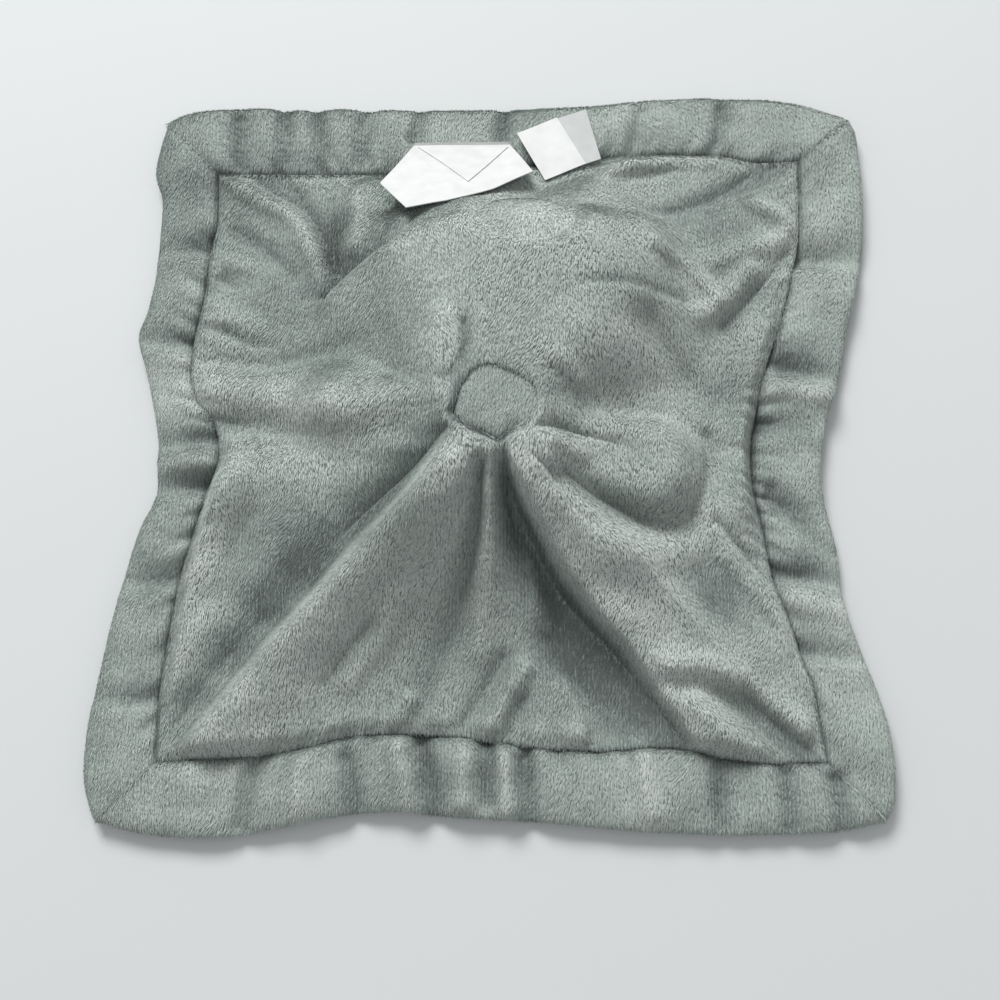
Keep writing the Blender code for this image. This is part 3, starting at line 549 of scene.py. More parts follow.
def soft_least(one, other, blend=0.002):
    """The lesser of two heights, with a rounded edge where they meet."""
    return np.minimum(one, other) - np.clip(blend - np.abs(one - other), 0, None) ** 2 / (4 * blend)


print("gathered left and right:", gathered_at(np.array([-1.0, 1.0]), np.zeros(2)).round(2))

# %% Height of the folded cloth
# Puff, pleat, tuck and pucker are in millimetres, and the other lengths in metres
HOLD_SHARE, HOLD_REACH = 0.85, 0.0075
BELOW_NECK_RISE, LOWEST = 0.0030, -0.0015
OVER_PATCH, OVER_REACH = 0.0004, 0.022
PUFF, PLEAT, PUFF_PLACE, PUFF_REACH = 1.6, 2.2, 0.0065, 0.0050
TUCK, TUCK_REACH, PUCKER = 3.6, 0.0018, 2.6
CARE_ROOM, SIZE_ROOM, SEAM_ROOM = 0.0043, 0.0040, 0.07


def cloth_lay(x, y):
    """The height of the folded cloth's middle."""
    row, height = lay_of_cloth(x, y)
    away = np.clip(past_line(patch_line, x, y), 0, None)
    hold = 1 - HOLD_SHARE * np.exp(-((away / HOLD_REACH) ** 2))
    least = toy_floor(x, y)
    height += BELOW_NECK_RISE * np.clip(0.5 + (NECK_Y - y) / 0.05, 0, 1)
    height = np.maximum(np.maximum(LOWEST, height + hold * carve(x, y, broad)), least)
    crumpled = crumple(x, y, 0.022, 1.0) * 1.3 + crumple(x, y, 0.010, 5.0) * 0.4
    height += hold * carve(x, y, fine) + crumpled * MM
    height += PUCKER * puckers(x, y)[0] * MM
    height = np.maximum(height, least - 0.0004)
    over = np.clip(height - (TENT_TOP - SEAM_TOP + OVER_PATCH), 0, None)
    height -= over * (1 - 0.5 * np.clip(away / OVER_REACH, 0, 1))
    puff = PUFF + PLEAT * noise_round(x, y, 3.6, 40.0)
    height += gathered_at(x, y) * puff * MM * np.exp(-(((away - PUFF_PLACE) / PUFF_REACH) ** 2))
    height -= gathered_at(x, y) * TUCK * MM * np.exp(-((away / TUCK_REACH) ** 2))
    height = soft_least(height, np.maximum(under_care_label(x, y) - CARE_ROOM - SEAM_TOP, least))
    height = soft_least(height, np.maximum(under_size_label(x, y) - SIZE_ROOM - SEAM_TOP, least))
    height = np.maximum(height, least - 0.0004)
    inward = np.clip(np.clip(1 - row, 0, 1) / SEAM_ROOM, 0, 1)
    inward = inward * inward * (3 - 2 * inward)
    return SEAM_TOP + inward * np.maximum(height, LOWEST)


def toy_floor(x, y):
    """The least height of the cloth's middle that clears the bear, above the seam."""
    least = np.zeros_like(x)
    forms = [(HEAD_PLACE, HEAD_SIZE)] + [(ear, EAR_SIZE) for ear in EAR_PLACES]
    for start, end in zip(SHOULDERS, PAWS):
        for step in range(7):
            size = SHOULDER_SIZE + (PAW_SIZE - SHOULDER_SIZE) * step / 6
            forms.append((start.lerp(end, step / 6), Vector((size, size, size))))
    for centre, size in forms:
        inside = 1 - ((x - centre.x) / (size.x + 0.002)) ** 2 - ((y - centre.y) / (size.y + 0.002)) ** 2
        top = centre.z + size.z * np.sqrt(np.clip(inside, 0, None)) + 0.0036 - SEAM_TOP
        least = np.where(inside > 0, np.maximum(least, top), least)
    return least


# %% [markdown]
# Each ply is a closed thin sheet on a polar grid: its spokes run from the patch to the seam, so the
# cells follow the folds, which fan out from the neck.

# %% Panels
ROWS = 84
RIM_TUCK, SEAM_TUCK = 0.0006, 0.0007


def add_object(name, mesh, material=None):
    """An object in the scene that shows this mesh."""
    made = bpy.data.objects.new(name, mesh)
    bpy.context.scene.collection.objects.link(made)
    if material:
        mesh.materials.append(material)
    return made


def make_plain(made):
    """The object's mesh with its modifiers worked in."""
    plain = bpy.data.meshes.new_from_object(made.evaluated_get(bpy.context.evaluated_depsgraph_get()))
    made.modifiers.clear()
    made.data = plain
    return plain


def mesh_object(name, points, faces, material):
    """A named smooth object from points and faces, with its normals pointing out."""
    mesh = bpy.data.meshes.new(name)
    mesh.from_pydata([tuple(point) for point in points], [], [tuple(face) for face in faces])
    shape = bmesh.new()
    shape.from_mesh(mesh)
    bmesh.ops.recalc_face_normals(shape, faces=shape.faces)
    shape.to_mesh(mesh)
    shape.free()
    mesh.shade_smooth()
    return add_object(name, mesh, material)


def ring_faces(rows, columns, first=0):
    """Quads between closed rings of points."""
    grid = np.arange(rows * columns).reshape(rows, columns) + first
    turned = np.roll(grid, -1, axis=1)
    return np.stack([grid[:-1], turned[:-1], turned[1:], grid[1:]], axis=-1).reshape(-1, 4)


def build_ply(name, level):
    """One ply of the cloth, a closed thin sheet from the patch to the seam."""
    seam_x, seam_y = seam_line.T
    turn = np.arctan2(seam_y - NECK_Y, seam_x - NECK_X)
    rim = around(patch_line, seam_x, seam_y) - RIM_TUCK
    rim_x, rim_y = NECK_X + rim * np.cos(turn), NECK_Y + rim * np.sin(turn)
    inset = SEAM_TUCK / np.hypot(seam_x - rim_x, seam_y - rim_y)
    share = np.linspace(0, 1, ROWS)[:, None] * (1 - inset[None, :])
    x = (rim_x + (seam_x - rim_x) * share).ravel()
    y = (rim_y + (seam_y - rim_y) * share).ravel()
    top = cloth_lay(x, y) + level + CLOTH_THICK
    points = np.column_stack([np.tile(x, 2), np.tile(y, 2), np.concatenate([top, top - CLOTH_THICK * 0.8])])
    columns, under = len(seam_line), len(x)
    faces = list(ring_faces(ROWS, columns)) + list(ring_faces(ROWS, columns, under)[:, ::-1])
    for base, flip in ((0, False), (under - columns, True)):
        for a in range(columns):
            b = (a + 1) % columns
            wall = (base + a, base + b, base + b + under, base + a + under)
            faces.append(wall[::-1] if flip else wall)
    return mesh_object(name, points, faces, PLUSH)


back_cloth = build_ply("back_cloth", PLY_GAP / 2)
front_cloth = build_ply("front_cloth", -PLY_GAP / 2 - CLOTH_THICK)
print("back cloth:", len(back_cloth.data.polygons), "faces")


# %% [markdown]
# ## The border
#
# Each side is a doubled strip, a little puffed, that is drawn in here and there by its stitching.
# A strip is a loft of rounded sections between its outer edge and the seam, and strokes across it
# press hollows into its top and raise the puffs between them.

# %% Ripples of the border
BORDER_TOP = 0.0095
RIPPLE_DEPTH = 1.4
RIPPLES = (
    ((-2.7, -2.7), (5, 4), 2, ((238, 120), (238, 165))),
    ((-3.3, -2.4), (5, 4), 2, ((284, 112), (280, 168))),
    ((-3.3, -2.4), (5, 4), 2, ((316, 112), (322, 168))),
    ((-2.7, -2.4), (5, 4), 2, ((366, 112), (358, 160))),
    ((-3.0, -3.0), (5, 4), 2, ((420, 112), (414, 140))),
    ((-3.0, -3.0), (5, 4), 2, ((504, 108), (500, 140))),
    ((-2.4, -2.4), (5, 4), 2, ((640, 112), (632, 150))),
    ((-3.0, -3.0), (5, 4), 2, ((722, 108), (716, 150))),
    ((-3.0, -3.0), (5, 4), 2, ((345, 760), (357, 825))),
    ((-3.6, -3.0), (5, 4), 2, ((422, 745), (434, 815))),
    ((-3.6, -3.0), (5, 4), 2, ((486, 745), (488, 800))),
    ((-3.6, -3.0), (5, 4), 2, ((522, 760), (530, 820))),
    ((-2.7, -2.7), (5, 4), 2, ((716, 770), (722, 825))),
    ((-2.7, -2.7), (5, 4), 2, ((782, 775), (790, 825))),
    ((-2.7, -2.7), (5, 4), 2, ((836, 780), (842, 825))),
    ((-2.7, -2.7), (5, 4), 2, ((250, 765), (240, 825))),
    ((-4.4, -1.4), (7, 4), 2, ((780, 367), (832, 378))),
    ((-4.4, -1.4), (7, 4), 2, ((756, 425), (812, 428))),
    ((-4.4, -1.4), (7, 4), 2, ((770, 497), (832, 552))),
    ((-4.4, -1.4), (7, 4), 2, ((775, 575), (840, 580))),
    ((-4.4, -1.4), (7, 4), 2, ((800, 650), (860, 660))),
    ((-4.4, -1.4), (7, 4), 2, ((800, 260), (856, 262))),
    ((-1.4, -4.4), (7, 4), 2, ((158, 444), (214, 440))),
    ((-1.4, -4.4), (7, 4), 2, ((150, 492), (205, 484))),
    ((-1.4, -4.4), (7, 4), 2, ((135, 585), (190, 580))),
    ((-1.4, -4.4), (7, 4), 2, ((146, 340), (200, 345))),
    ((-1.4, -4.4), (7, 4), 2, ((158, 250), (212, 248))),
    ((-1.4, -4.4), (7, 4), 2, ((100, 700), (168, 700))),
    ((3.4, 2.4), (4, 5), 2, ((398, 748), (410, 810))),
    ((3.4, 2.4), (4, 4), 2, ((462, 744), (462, 800))),
    ((3.8, 2.6), (4, 4), 2, ((504, 744), (506, 808))),
    ((3.0, 2.0), (5, 4), 2, ((640, 756), (650, 812))),
    ((2.6, 1.6), (5, 4), 2, ((300, 760), (300, 820))),
    ((2.6, 1.8), (5, 5), 2, ((766, 385), (826, 396))),
    ((2.4, 1.6), (6, 6), 2, ((792, 600), (842, 612))),
    ((2.4, 1.6), (5, 5), 2, ((210, 462), (160, 466))),
)


def on_border(px, py):
    place = sight(px, py, BORDER_TOP * 0.8)
    return place.x, place.y


ripples = []
for rise, reach, sharp, pixels in RIPPLES:
    line = smooth_line([on_border(*pixel) for pixel in pixels], 6)
    ripples.append((np.array(rise) * RIPPLE_DEPTH * MM, np.array(reach) * MM, sharp, line))
print("ripples:", len(ripples))

# %% Border strips
LONG_STEPS, SECTION_STEPS = 180, 40
MITRE_GAP, MITRE_PINCH, SQUARENESS = 0.0003, 0.04, 2.7
BESIDE_CARE, CARE_REST = 0.6, 0.0086
SIZE_REST, STRIP_PUCKER = 0.0016, 2.4


def build_border(side):
    """One mitred strip, closed at its two ends."""
    outer, inner = (smooth_line(outline[side], LONG_STEPS) * SIDE for outline in (OUTER, SEAM))
    for edge in (outer, inner):
        for end, beside in ((0, 1), (-1, -2)):
            run = edge[beside] - edge[end]
            edge[end] += run / np.linalg.norm(run) * MITRE_GAP
    turn = np.linspace(0, 2 * math.pi, SECTION_STEPS, endpoint=False)
    power = 2 / SQUARENESS
    across = 0.5 - 0.5 * np.sign(np.cos(turn)) * np.abs(np.cos(turn)) ** power
    up = 0.5 + 0.5 * np.sign(np.sin(turn)) * np.abs(np.sin(turn)) ** power
    x = (outer[:, None, 0] + (inner - outer)[:, None, 0] * across).ravel()
    y = (outer[:, None, 1] + (inner - outer)[:, None, 1] * across).ravel()
    step = np.arange(LONG_STEPS + 1)
    end_share = np.minimum(step, LONG_STEPS - step) / LONG_STEPS
    pinch = 1 - MITRE_PINCH * np.exp(-((end_share * len(step) / 1.6) ** 2))
    lift = np.tile(up, LONG_STEPS + 1)
    top = BORDER_TOP * np.repeat(pinch, SECTION_STEPS)
    crumpled = crumple(x, y, 0.020, 9.0) * 2.2 + crumple(x, y, 0.010, 3.0) * 0.7
    press = carve(x, y, ripples) + crumpled * MM
    press += STRIP_PUCKER * MM * puckers(x, y)[0]
    height = np.minimum(top + press, CARE_REST + BESIDE_CARE * beside_care_label(x, y))
    height = np.minimum(height, under_size_label(x, y) - SIZE_REST)
    z = np.maximum(0.0, lift * height)
    points = np.column_stack([x, y, z])
    grid = np.arange(len(points)).reshape(-1, SECTION_STEPS)
    faces = list(ring_faces(LONG_STEPS + 1, SECTION_STEPS))
    centres = [points[grid[0]].mean(axis=0), points[grid[-1]].mean(axis=0)]
    points = np.vstack([points, centres])
    for ring, centre in ((grid[0], len(points) - 2), (grid[-1], len(points) - 1)):
        faces += [(a, b, centre) for a, b in zip(ring, np.roll(ring, -1))]
    return mesh_object("border_strip_" + side, points, faces, PLUSH)


border_strips = {side: build_border(side) for side in SIDES}
print("border strips:", [len(strip.data.polygons) for strip in border_strips.values()])

# %% [markdown]
# ## The patch over the gathers
#
# A small rounded piece of plush closes the hole where the neck comes up. It is a little crowned,
# and its edge tucks under the gathers.


# %% Patch
PATCH_RINGS, PATCH_STEPS = 16, 96
CROWN, EDGE_DIP, GATHER_DIP, UNDERSIDE = 0.0020, 0.0004, 0.0034, 0.0022


def build_patch():
    """A crowned disc whose edge dips most where the cloth is gathered tightly."""
    points = []
    centre = patch_line.mean(axis=0)
    for share in np.linspace(1 / PATCH_RINGS, 1, PATCH_RINGS):
        ring = centre + (patch_line - centre) * share * 0.985
        dip = EDGE_DIP + GATHER_DIP * gathered_at(*ring.T)
        height = NECK_LOW.z + CROWN - dip * share**4
        dent = crumple(*ring.T, 0.010, 2.0) * 0.0006 * (1 - share**4)
        points += [(x, y, h + d) for (x, y), h, d in zip(ring, height, dent)]
    under = centre + (patch_line - centre) * 0.93
    points += [(x, y, NECK_LOW.z - UNDERSIDE) for x, y in under]
    faces = list(ring_faces(PATCH_RINGS + 1, PATCH_STEPS))
    last = PATCH_RINGS * PATCH_STEPS
    points += [(*centre, NECK_LOW.z + 0.0022), (*centre, NECK_LOW.z - UNDERSIDE)]
    for a in range(PATCH_STEPS):
        b = (a + 1) % PATCH_STEPS
        faces += [(len(points) - 2, a, b), (len(points) - 1, last + b, last + a)]
    return mesh_object("patch", points, faces, PLUSH)


patch = build_patch()
print("patch:", len(patch.data.polygons), "faces")

# %% [markdown]
# ## The labels
#
# Satin labels are left blank here. The care label is a ribbon folded back on itself, so it shows a
# flap with a second, pointed fold on it; two small leaves lie beside it. Each is cut from its
# outline, ruled into small cells so that it can curl, and given the ribbon's thickness. The small
# front leaf is split at its hinge: the leaf stands up, and its stub stays sewn down.


# %% Satin
def satin_material(name, colour):
    """White woven ribbon: a fine rib that catches the light."""
    material, tree, shader = new_material(name, Base_Color=colour, Roughness=0.42, Sheen_Weight=0.1)
    place = add_node(tree, "ShaderNodeTexCoord").out("Object")
    bands = {"Vector": place, "Scale": 900.0, "Distortion": 0.4}
    ribs = add_node(tree, "ShaderNodeTexWave", {"wave_type": "BANDS"}, bands)
    cloud = add_node(tree, "ShaderNodeTexNoise", {}, {"Vector": place, "Scale": 160.0, "Detail": 2.0})
    bump = add_node(tree, "ShaderNodeBump", {}, {"Strength": 0.25, "Distance": 0.0001, "Height": ribs})
    darker = tuple(v * 0.9 for v in colour[:3]) + (1.0,)
    ramp = add_node(tree, "ShaderNodeValToRGB", {"stops": ((0.3, darker), (0.7, colour))}, {"Fac": cloud})
    tree.links.new(ramp.socket, shader.inputs["Base Color"])
    tree.links.new(bump.socket, shader.inputs["Normal"])
    return material


# One white satin in three copies: the darkest copy is painted shade, for the care label's tail under its flap
# and the back leaf under the front one; the front leaf's copy is a little greyer.
SATIN = satin_material("satin", srgb(206, 207, 206))
SATIN_FRONT = satin_material("satin_front", srgb(190, 192, 191))
SATIN_SHADED = satin_material("satin_shaded", srgb(160, 164, 163))
print("satins:", SATIN.name, SATIN_FRONT.name, SATIN_SHADED.name)


# %% Labels
RIBBON_THICK, LABEL_CELL = 0.0004, 0.0025


def plane_sight(px, py, point, normal):
    """The place on a plane that shows at a pixel."""
    ray = sight(px, py, 0) - CAMERA_PLACE
    return CAMERA_PLACE + ray * ((point - CAMERA_PLACE).dot(normal) / ray.dot(normal))


def build_label(name, pixels, hinge, axis, slope, curl, material, lift=0.0, part="all"):
    """A ribbon, or its leaf or stub on one side of the hinge, cut to its outline on a sloping plane."""
    level = Vector(axis).normalized()
    out = Matrix.Rotation(slope, 3, level) @ level.cross(Vector((0, 0, 1)))
    normal = level.cross(out)
    if normal.z < 0:
        normal.negate()
    hinge = Vector(hinge) + normal * lift
    shape = bmesh.new()
    shape.faces.new([shape.verts.new(plane_sight(px, py, hinge, normal)) for px, py in pixels])
    if part != "all":
        cells = shape.verts[:] + shape.edges[:] + shape.faces[:]
        bmesh.ops.bisect_plane(shape, geom=cells, plane_co=hinge, plane_no=out, dist=1e-5,
                               clear_outer=part == "leaf", clear_inner=part == "stub")
    for direction in (level, out):
        for step in range(-16, 17):
            cells = shape.verts[:] + shape.edges[:] + shape.faces[:]
            cut = hinge + direction * step * LABEL_CELL
            bmesh.ops.bisect_plane(shape, geom=cells, plane_co=cut, plane_no=direction, dist=1e-5)
    for vert in shape.verts:
        away = (vert.co - hinge).dot(out)
        across = (vert.co - hinge).dot(level)
        wave = 0.0003 * math.sin(across / 0.006) * min(1, abs(away) / 0.008)
        vert.co += normal * (curl * (away / 0.03) ** 2 + wave)
    mesh = bpy.data.meshes.new(name)
    bmesh.ops.recalc_face_normals(shape, faces=shape.faces)
    if sum(face.normal.z for face in shape.faces) < 0:
        bmesh.ops.reverse_faces(shape, faces=shape.faces)
    shape.to_mesh(mesh)
    shape.free()
    mesh.shade_smooth()
    made = add_object(name, mesh, material)
    wall = made.modifiers.new("thickness", "SOLIDIFY")
    wall.thickness, wall.offset = RIBBON_THICK, 0.0
    make_plain(made).set_sharp_from_angle(angle=math.radians(40))
    return made


care_flap = build_label(
    "care_flap", ((414, 146), (510, 145), (533, 172), (494, 188), (446, 201), (406, 207), (380, 183)),
    CARE_HINGE, CARE_AXIS, CARE_SLOPE, 0.0, SATIN, lift=0.0004)
care_fold = build_label(
    "care_fold", ((418, 147), (468, 181), (508, 147)),
    CARE_HINGE, CARE_AXIS, CARE_SLOPE, 0.0, SATIN, lift=0.0009)
# The tail and the back leaf take the darkest satin, which is painted shade.
care_tail = build_label(
    "care_tail", ((414, 147), (510, 146), (509, 142), (415, 143)),
    (CARE_HINGE[0], CARE_HINGE[1], 0.0093), CARE_AXIS, 0.0, 0.0, SATIN_SHADED)
FRONT_LEAF = ((517, 134), (557, 119), (586, 164), (545, 180))
size_front, size_stub = [
    build_label("size_" + name, FRONT_LEAF, SIZE_HINGE, SIZE_AXIS, -SIZE_SLOPE, 0.0012, SATIN_FRONT, part=part)
    for name, part in (("front", "leaf"), ("stub", "stub"))]
size_back = build_label(
    "size_back", ((553, 121), (586, 110), (601, 159), (575, 168)),
    (SIZE_HINGE[0], SIZE_HINGE[1], 0.0172), SIZE_AXIS, -SIZE_SLOPE, 0.0004, SATIN_SHADED)

# %% [markdown]
# ## The bear
#
# The bear hangs under the cloth, face down, so only its bulge shows from above. Its head and arms
# are stuffed: each is grown from rounded forms, joined by a voxel remesh and smoothed, as stuffing
# rounds the seams of the real toy.


# %% Stuffed forms
def ball_mesh(shape, centre, size, taper=0.0, cells=32):
    """Adds a rounded form, narrower towards +Y by its taper."""
    made = bmesh.ops.create_uvsphere(shape, u_segments=2 * cells, v_segments=cells, radius=1)["verts"]
    bmesh.ops.rotate(shape, cent=(0, 0, 0), matrix=Matrix.Rotation(math.pi / 2, 3, "X"), verts=made)
    for vert in made:
        narrowing = 1 - taper * vert.co.y
        scaled = Vector((vert.co.x * size[0] * narrowing, vert.co.y * size[1], vert.co.z * size[2]))
        vert.co = scaled + Vector(centre)


def stuffed(name, balls, voxel, material):
    """Rounded forms joined into one smooth skin."""
    shape = bmesh.new()
    for centre, size, taper in balls:
        ball_mesh(shape, centre, size, taper)
    mesh = bpy.data.meshes.new(name)
    shape.to_mesh(mesh)
    shape.free()
    made = add_object(name, mesh)
    remesh = made.modifiers.new("join", "REMESH")
    remesh.mode, remesh.voxel_size, remesh.use_smooth_shade = "VOXEL", voxel, True
    smooth = made.modifiers.new("round", "SMOOTH")
    smooth.iterations, smooth.factor = 6, 0.5
    plain = make_plain(made)
    plain.materials.clear()
    plain.materials.append(material)
    return made


PIVOT, PIVOT_SIZE = Vector((0.002848, 0.010324, 0.0356)), (0.0155, 0.0155, 0.0155)
MUZZLE, MUZZLE_SIZE = Vector((HEAD_PLACE.x, HEAD_PLACE.y - 0.012, 0.0137)), (0.0165, 0.0130, 0.0105)
LINING_SIZE, LINING_IN, LINING_DOWN = (0.0105, 0.0105, 0.0024), 0.0028, -0.0042

head = stuffed("bear_head", [(HEAD_PLACE, HEAD_SIZE, 0.12), (PIVOT, PIVOT_SIZE, 0.0)], 0.0016, PLUSH)
arms, ears, linings = [], [], []
for side, start, end in zip(("left", "right"), SHOULDERS, PAWS):
    balls = []
    for share in np.linspace(0, 1, 9):
        half = SHOULDER_SIZE + (PAW_SIZE - SHOULDER_SIZE) * share
        balls.append((start.lerp(end, share), (half, half, half), 0.0))
    arms.append(stuffed("bear_arm_" + side, balls, 0.0015, PLUSH))
for side, sign, centre in zip(("left", "right"), (-1, 1), EAR_PLACES):
    ears.append(stuffed("bear_ear_" + side, [(centre, EAR_SIZE, 0.0)], 0.0011, PLUSH))
    front = centre + Vector((sign * LINING_IN, 0, LINING_DOWN))
    linings.append(stuffed("bear_lining_" + side, [(front, LINING_SIZE, 0.0)], 0.0009, CREAM))
muzzle = stuffed("bear_muzzle", [(MUZZLE, MUZZLE_SIZE, 0.0)], 0.0011, CREAM)
print("bear:", head.name, [arm.name for arm in arms])


# %% [markdown]
# Eyes, nose and mouth are embroidered, so that nothing can come off in a baby's mouth: satin stitch
# is a raised pad of close parallel threads, which a fine wave texture draws and a Bump node lifts.

# %% Sewn face
def thread_material(name, colour):
    """Embroidery: close parallel stitches with a soft shine."""
    material, tree, shader = new_material(name, Base_Color=colour, Roughness=0.5, Sheen_Weight=0.2)
    place = add_node(tree, "ShaderNodeTexCoord").out("Object")
    bands = {"Vector": place, "Scale": 420.0, "Distortion": 1.0}
    strands = add_node(tree, "ShaderNodeTexWave", {"wave_type": "BANDS"}, bands)
    lighter = tuple(min(1.0, v * 1.7) for v in colour[:3]) + (1.0,)
    ramp = add_node(tree, "ShaderNodeValToRGB", {"stops": ((0.2, colour), (0.9, lighter))}, {"Fac": strands})
    bump = add_node(tree, "ShaderNodeBump", {}, {"Strength": 0.6, "Distance": 0.0002, "Height": strands})
    tree.links.new(ramp.socket, shader.inputs["Base Color"])
    tree.links.new(bump.socket, shader.inputs["Normal"])
    return material


THREAD = thread_material("thread", srgb(78, 64, 56))
GATHER = thread_material("gather_thread", srgb(128, 138, 134))


def facing_box(node, name, material, cells=16):
    """A smooth rounded piece that fills the box of a small solid."""
    low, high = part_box(node)
    shape = bmesh.new()
    ball_mesh(shape, (low + high) / 2, (high - low) / 2, cells=cells)
    mesh = bpy.data.meshes.new(name)
    bmesh.ops.recalc_face_normals(shape, faces=shape.faces)
    shape.to_mesh(mesh)
    shape.free()
    mesh.shade_smooth()
    return add_object(name, mesh, material)


nose = facing_box("nose", "bear_nose", THREAD)
eyes = [facing_box("eye_" + side, "bear_eye_" + side, THREAD) for side in ("left", "right")]
neck = facing_box("neck", "bear_neck", PLUSH, 24)
for node, material in (("mouth_stitch", THREAD), ("gathering_thread", GATHER)):
    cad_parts[node].data.materials.clear()
    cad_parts[node].data.materials.append(material)
print("face:", nose.name, [eye.name for eye in eyes])

# %% [markdown]
# ## The pile
#
# What makes plush plush is its pile, and at this distance the pile shows as thousands of short
# strokes that catch or lose the light. Geometry Nodes scatter thin three-sided tufts over the
# cloth, lay each one along the nap, and vary their size. Eight tones of tuft are enough, since the
# tufts' own light and shade make the texture.

# %% Tones of tuft
TUFT_COLOURS = (
    srgb(92, 101, 98), srgb(111, 120, 117), srgb(129, 139, 134), srgb(144, 154, 149),
    srgb(156, 166, 160), srgb(167, 176, 170), srgb(177, 185, 180), srgb(189, 196, 191),
)
TUFT_FINISH = {"Roughness": 0.85, "Sheen_Weight": 0.3, "Sheen_Roughness": 0.4}
TUFT_TONES = [new_material("tuft_%d" % tone, Base_Color=colour, **TUFT_FINISH)[0]
              for tone, colour in enumerate(TUFT_COLOURS)]
print("tones:", len(TUFT_TONES))


# %% A tree that grows tufts
def pile_tree():
    """A node tree that grows tufts on a mesh with the attributes nap and cover."""
    tree = bpy.data.node_groups.new("pile", "GeometryNodeTree")
    floats = ("Density", "Length", "Width", "Lift")
    for name, kind in [("Geometry", "Geometry")] + [(name, "Float") for name in floats] + [("Seed", "Int")]:
        tree.interface.new_socket(name=name, in_out="INPUT", socket_type="NodeSocket" + kind)
    tree.interface.new_socket(name="Geometry", in_out="OUTPUT", socket_type="NodeSocketGeometry")
    given = add_node(tree, "NodeGroupInput")

    def attribute(name, kind):
        return add_node(tree, "GeometryNodeInputNamedAttribute", {"data_type": kind}, {"Name": name})

    def chance(low, high, seed):
        settings = {2: low, 3: high, 8: seed}
        return add_node(tree, "FunctionNodeRandomValue", {"data_type": "FLOAT"}, settings).out(1)

    def chance_vector(size, seed):
        settings = {0: (-size,) * 3, 1: (size,) * 3, 8: seed}
        return add_node(tree, "FunctionNodeRandomValue", {"data_type": "FLOAT_VECTOR"}, settings)

    def add_vectors(one, other):
        return add_node(tree, "ShaderNodeVectorMath", {"operation": "ADD"}, {0: one, 1: other})

    density = given.out("Density") * attribute("cover", "FLOAT")
    points = add_node(tree, "GeometryNodeDistributePointsOnFaces", {"distribute_method": "RANDOM"}, {
        "Mesh": given.out("Geometry"), "Density": density, "Seed": given.out("Seed")})
    cone = add_node(tree, "GeometryNodeMeshCone", {"fill_type": "NGON"}, {
        "Vertices": 3, "Radius Top": 0.0, "Radius Bottom": given.out("Width"), "Depth": given.out("Length")})
    lean = add_node(tree, "ShaderNodeCombineXYZ", {}, {"X": given.out("Lift") - math.pi / 2})
    tuft = add_node(tree, "GeometryNodeTransform", {}, {"Geometry": cone, "Rotation": lean})
    upright = add_node(tree, "FunctionNodeAlignRotationToVector", {"axis": "Z"}, {
        "Vector": add_vectors(points.out("Normal"), chance_vector(0.10, 11))})
    laid = add_node(tree, "FunctionNodeAlignRotationToVector", {"axis": "Y", "pivot_axis": "Z"}, {
        "Rotation": upright, "Vector": add_vectors(attribute("nap", "FLOAT_VECTOR"), chance_vector(0.16, 12))})
    size = add_node(tree, "ShaderNodeCombineXYZ", {}, {
        "X": chance(0.7, 1.3, 13), "Y": chance(0.6, 1.3, 14), "Z": chance(0.4, 0.7, 15)})
    grown = add_node(tree, "GeometryNodeInstanceOnPoints", {}, {
        "Points": points, "Instance": tuft, "Rotation": laid, "Scale": size})
    real = add_node(tree, "GeometryNodeRealizeInstances", {}, {"Geometry": grown})
    made = add_node(tree, "GeometryNodeSetShadeSmooth", {}, {"Geometry": real, "Shade Smooth": False})
    made = add_node(tree, "GeometryNodeSetMaterial", {}, {"Geometry": made, "Material": TUFT_TONES[3]})
    tree.links.new(made.socket, add_node(tree, "NodeGroupOutput").inputs["Geometry"])
    return tree


PILE = pile_tree()
print("pile tree:", len(PILE.nodes), "nodes")

# %% [markdown]
# Pile that was brushed one way lies in short streaks, each paler or darker than its neighbours. To
# find them, random specks on a fine grid are smeared along the nap, and a tuft takes the tone of
# the streak that it stands in. The nap's direction is worked out at coarse knots and spread evenly
# between them, which is much quicker than noise at every cell.

# %% Streaks along the nap
GRID_STEP, GRID_CELLS, KNOTS = 0.0004, 900, 91


def nap_turn(x, y):
    """The direction in which the pile lies, seen from above."""
    return -math.pi / 2 - 0.10 + 0.7 * crumple(x, y, 0.034, 21.0) + 0.4 * crumple(x, y, 0.012, 22.0)


def smeared_specks():
    """A square grid of specks, smeared along the nap, with mean 0 and deviation 1."""
    coarse = np.linspace(-0.5, 0.5, KNOTS) * GRID_STEP * GRID_CELLS
    knot_x, knot_y = np.meshgrid(coarse, coarse, indexing="ij")
    turn = nap_turn(knot_x.ravel(), knot_y.ravel()).reshape(KNOTS, KNOTS)
    cells = np.linspace(0, KNOTS - 1, GRID_CELLS)
    low = np.minimum(cells.astype(int), KNOTS - 2)
    part = cells - low
    rows = turn[low] + (turn[low + 1] - turn[low]) * part[:, None]
    turn = rows[:, low] + (rows[:, low + 1] - rows[:, low]) * part
    specks = np.random.default_rng(7).normal(size=(GRID_CELLS, GRID_CELLS))
    across, down = np.meshgrid(np.arange(GRID_CELLS), np.arange(GRID_CELLS), indexing="ij")
    total = np.zeros_like(specks)
    for step in range(-2, 3):
        i = np.rint(across + step * np.cos(turn)).astype(int) % GRID_CELLS
        j = np.rint(down + step * np.sin(turn)).astype(int) % GRID_CELLS
        total += specks[i, j]
    return (total - total.mean()) / total.std()


streaks = smeared_specks()
print("streaks:", streaks.shape)

# %% [markdown]
# Broader places were stroked by a hand: they are soft round spots of painted light and shade, paler where the
# pile leans to the light and darker where it leans away, and along the folds painted highlights on the crests
# with painted shade in the valleys beside them. The knitted ribs under the pile add a fine even wave. Ridges
# get a painted highlight, and creases, the seam and the patch's edge get painted shade.

# %% Tones of the pile
MIDDLE_TONE, RIB_STEP = 4.3, 0.00155
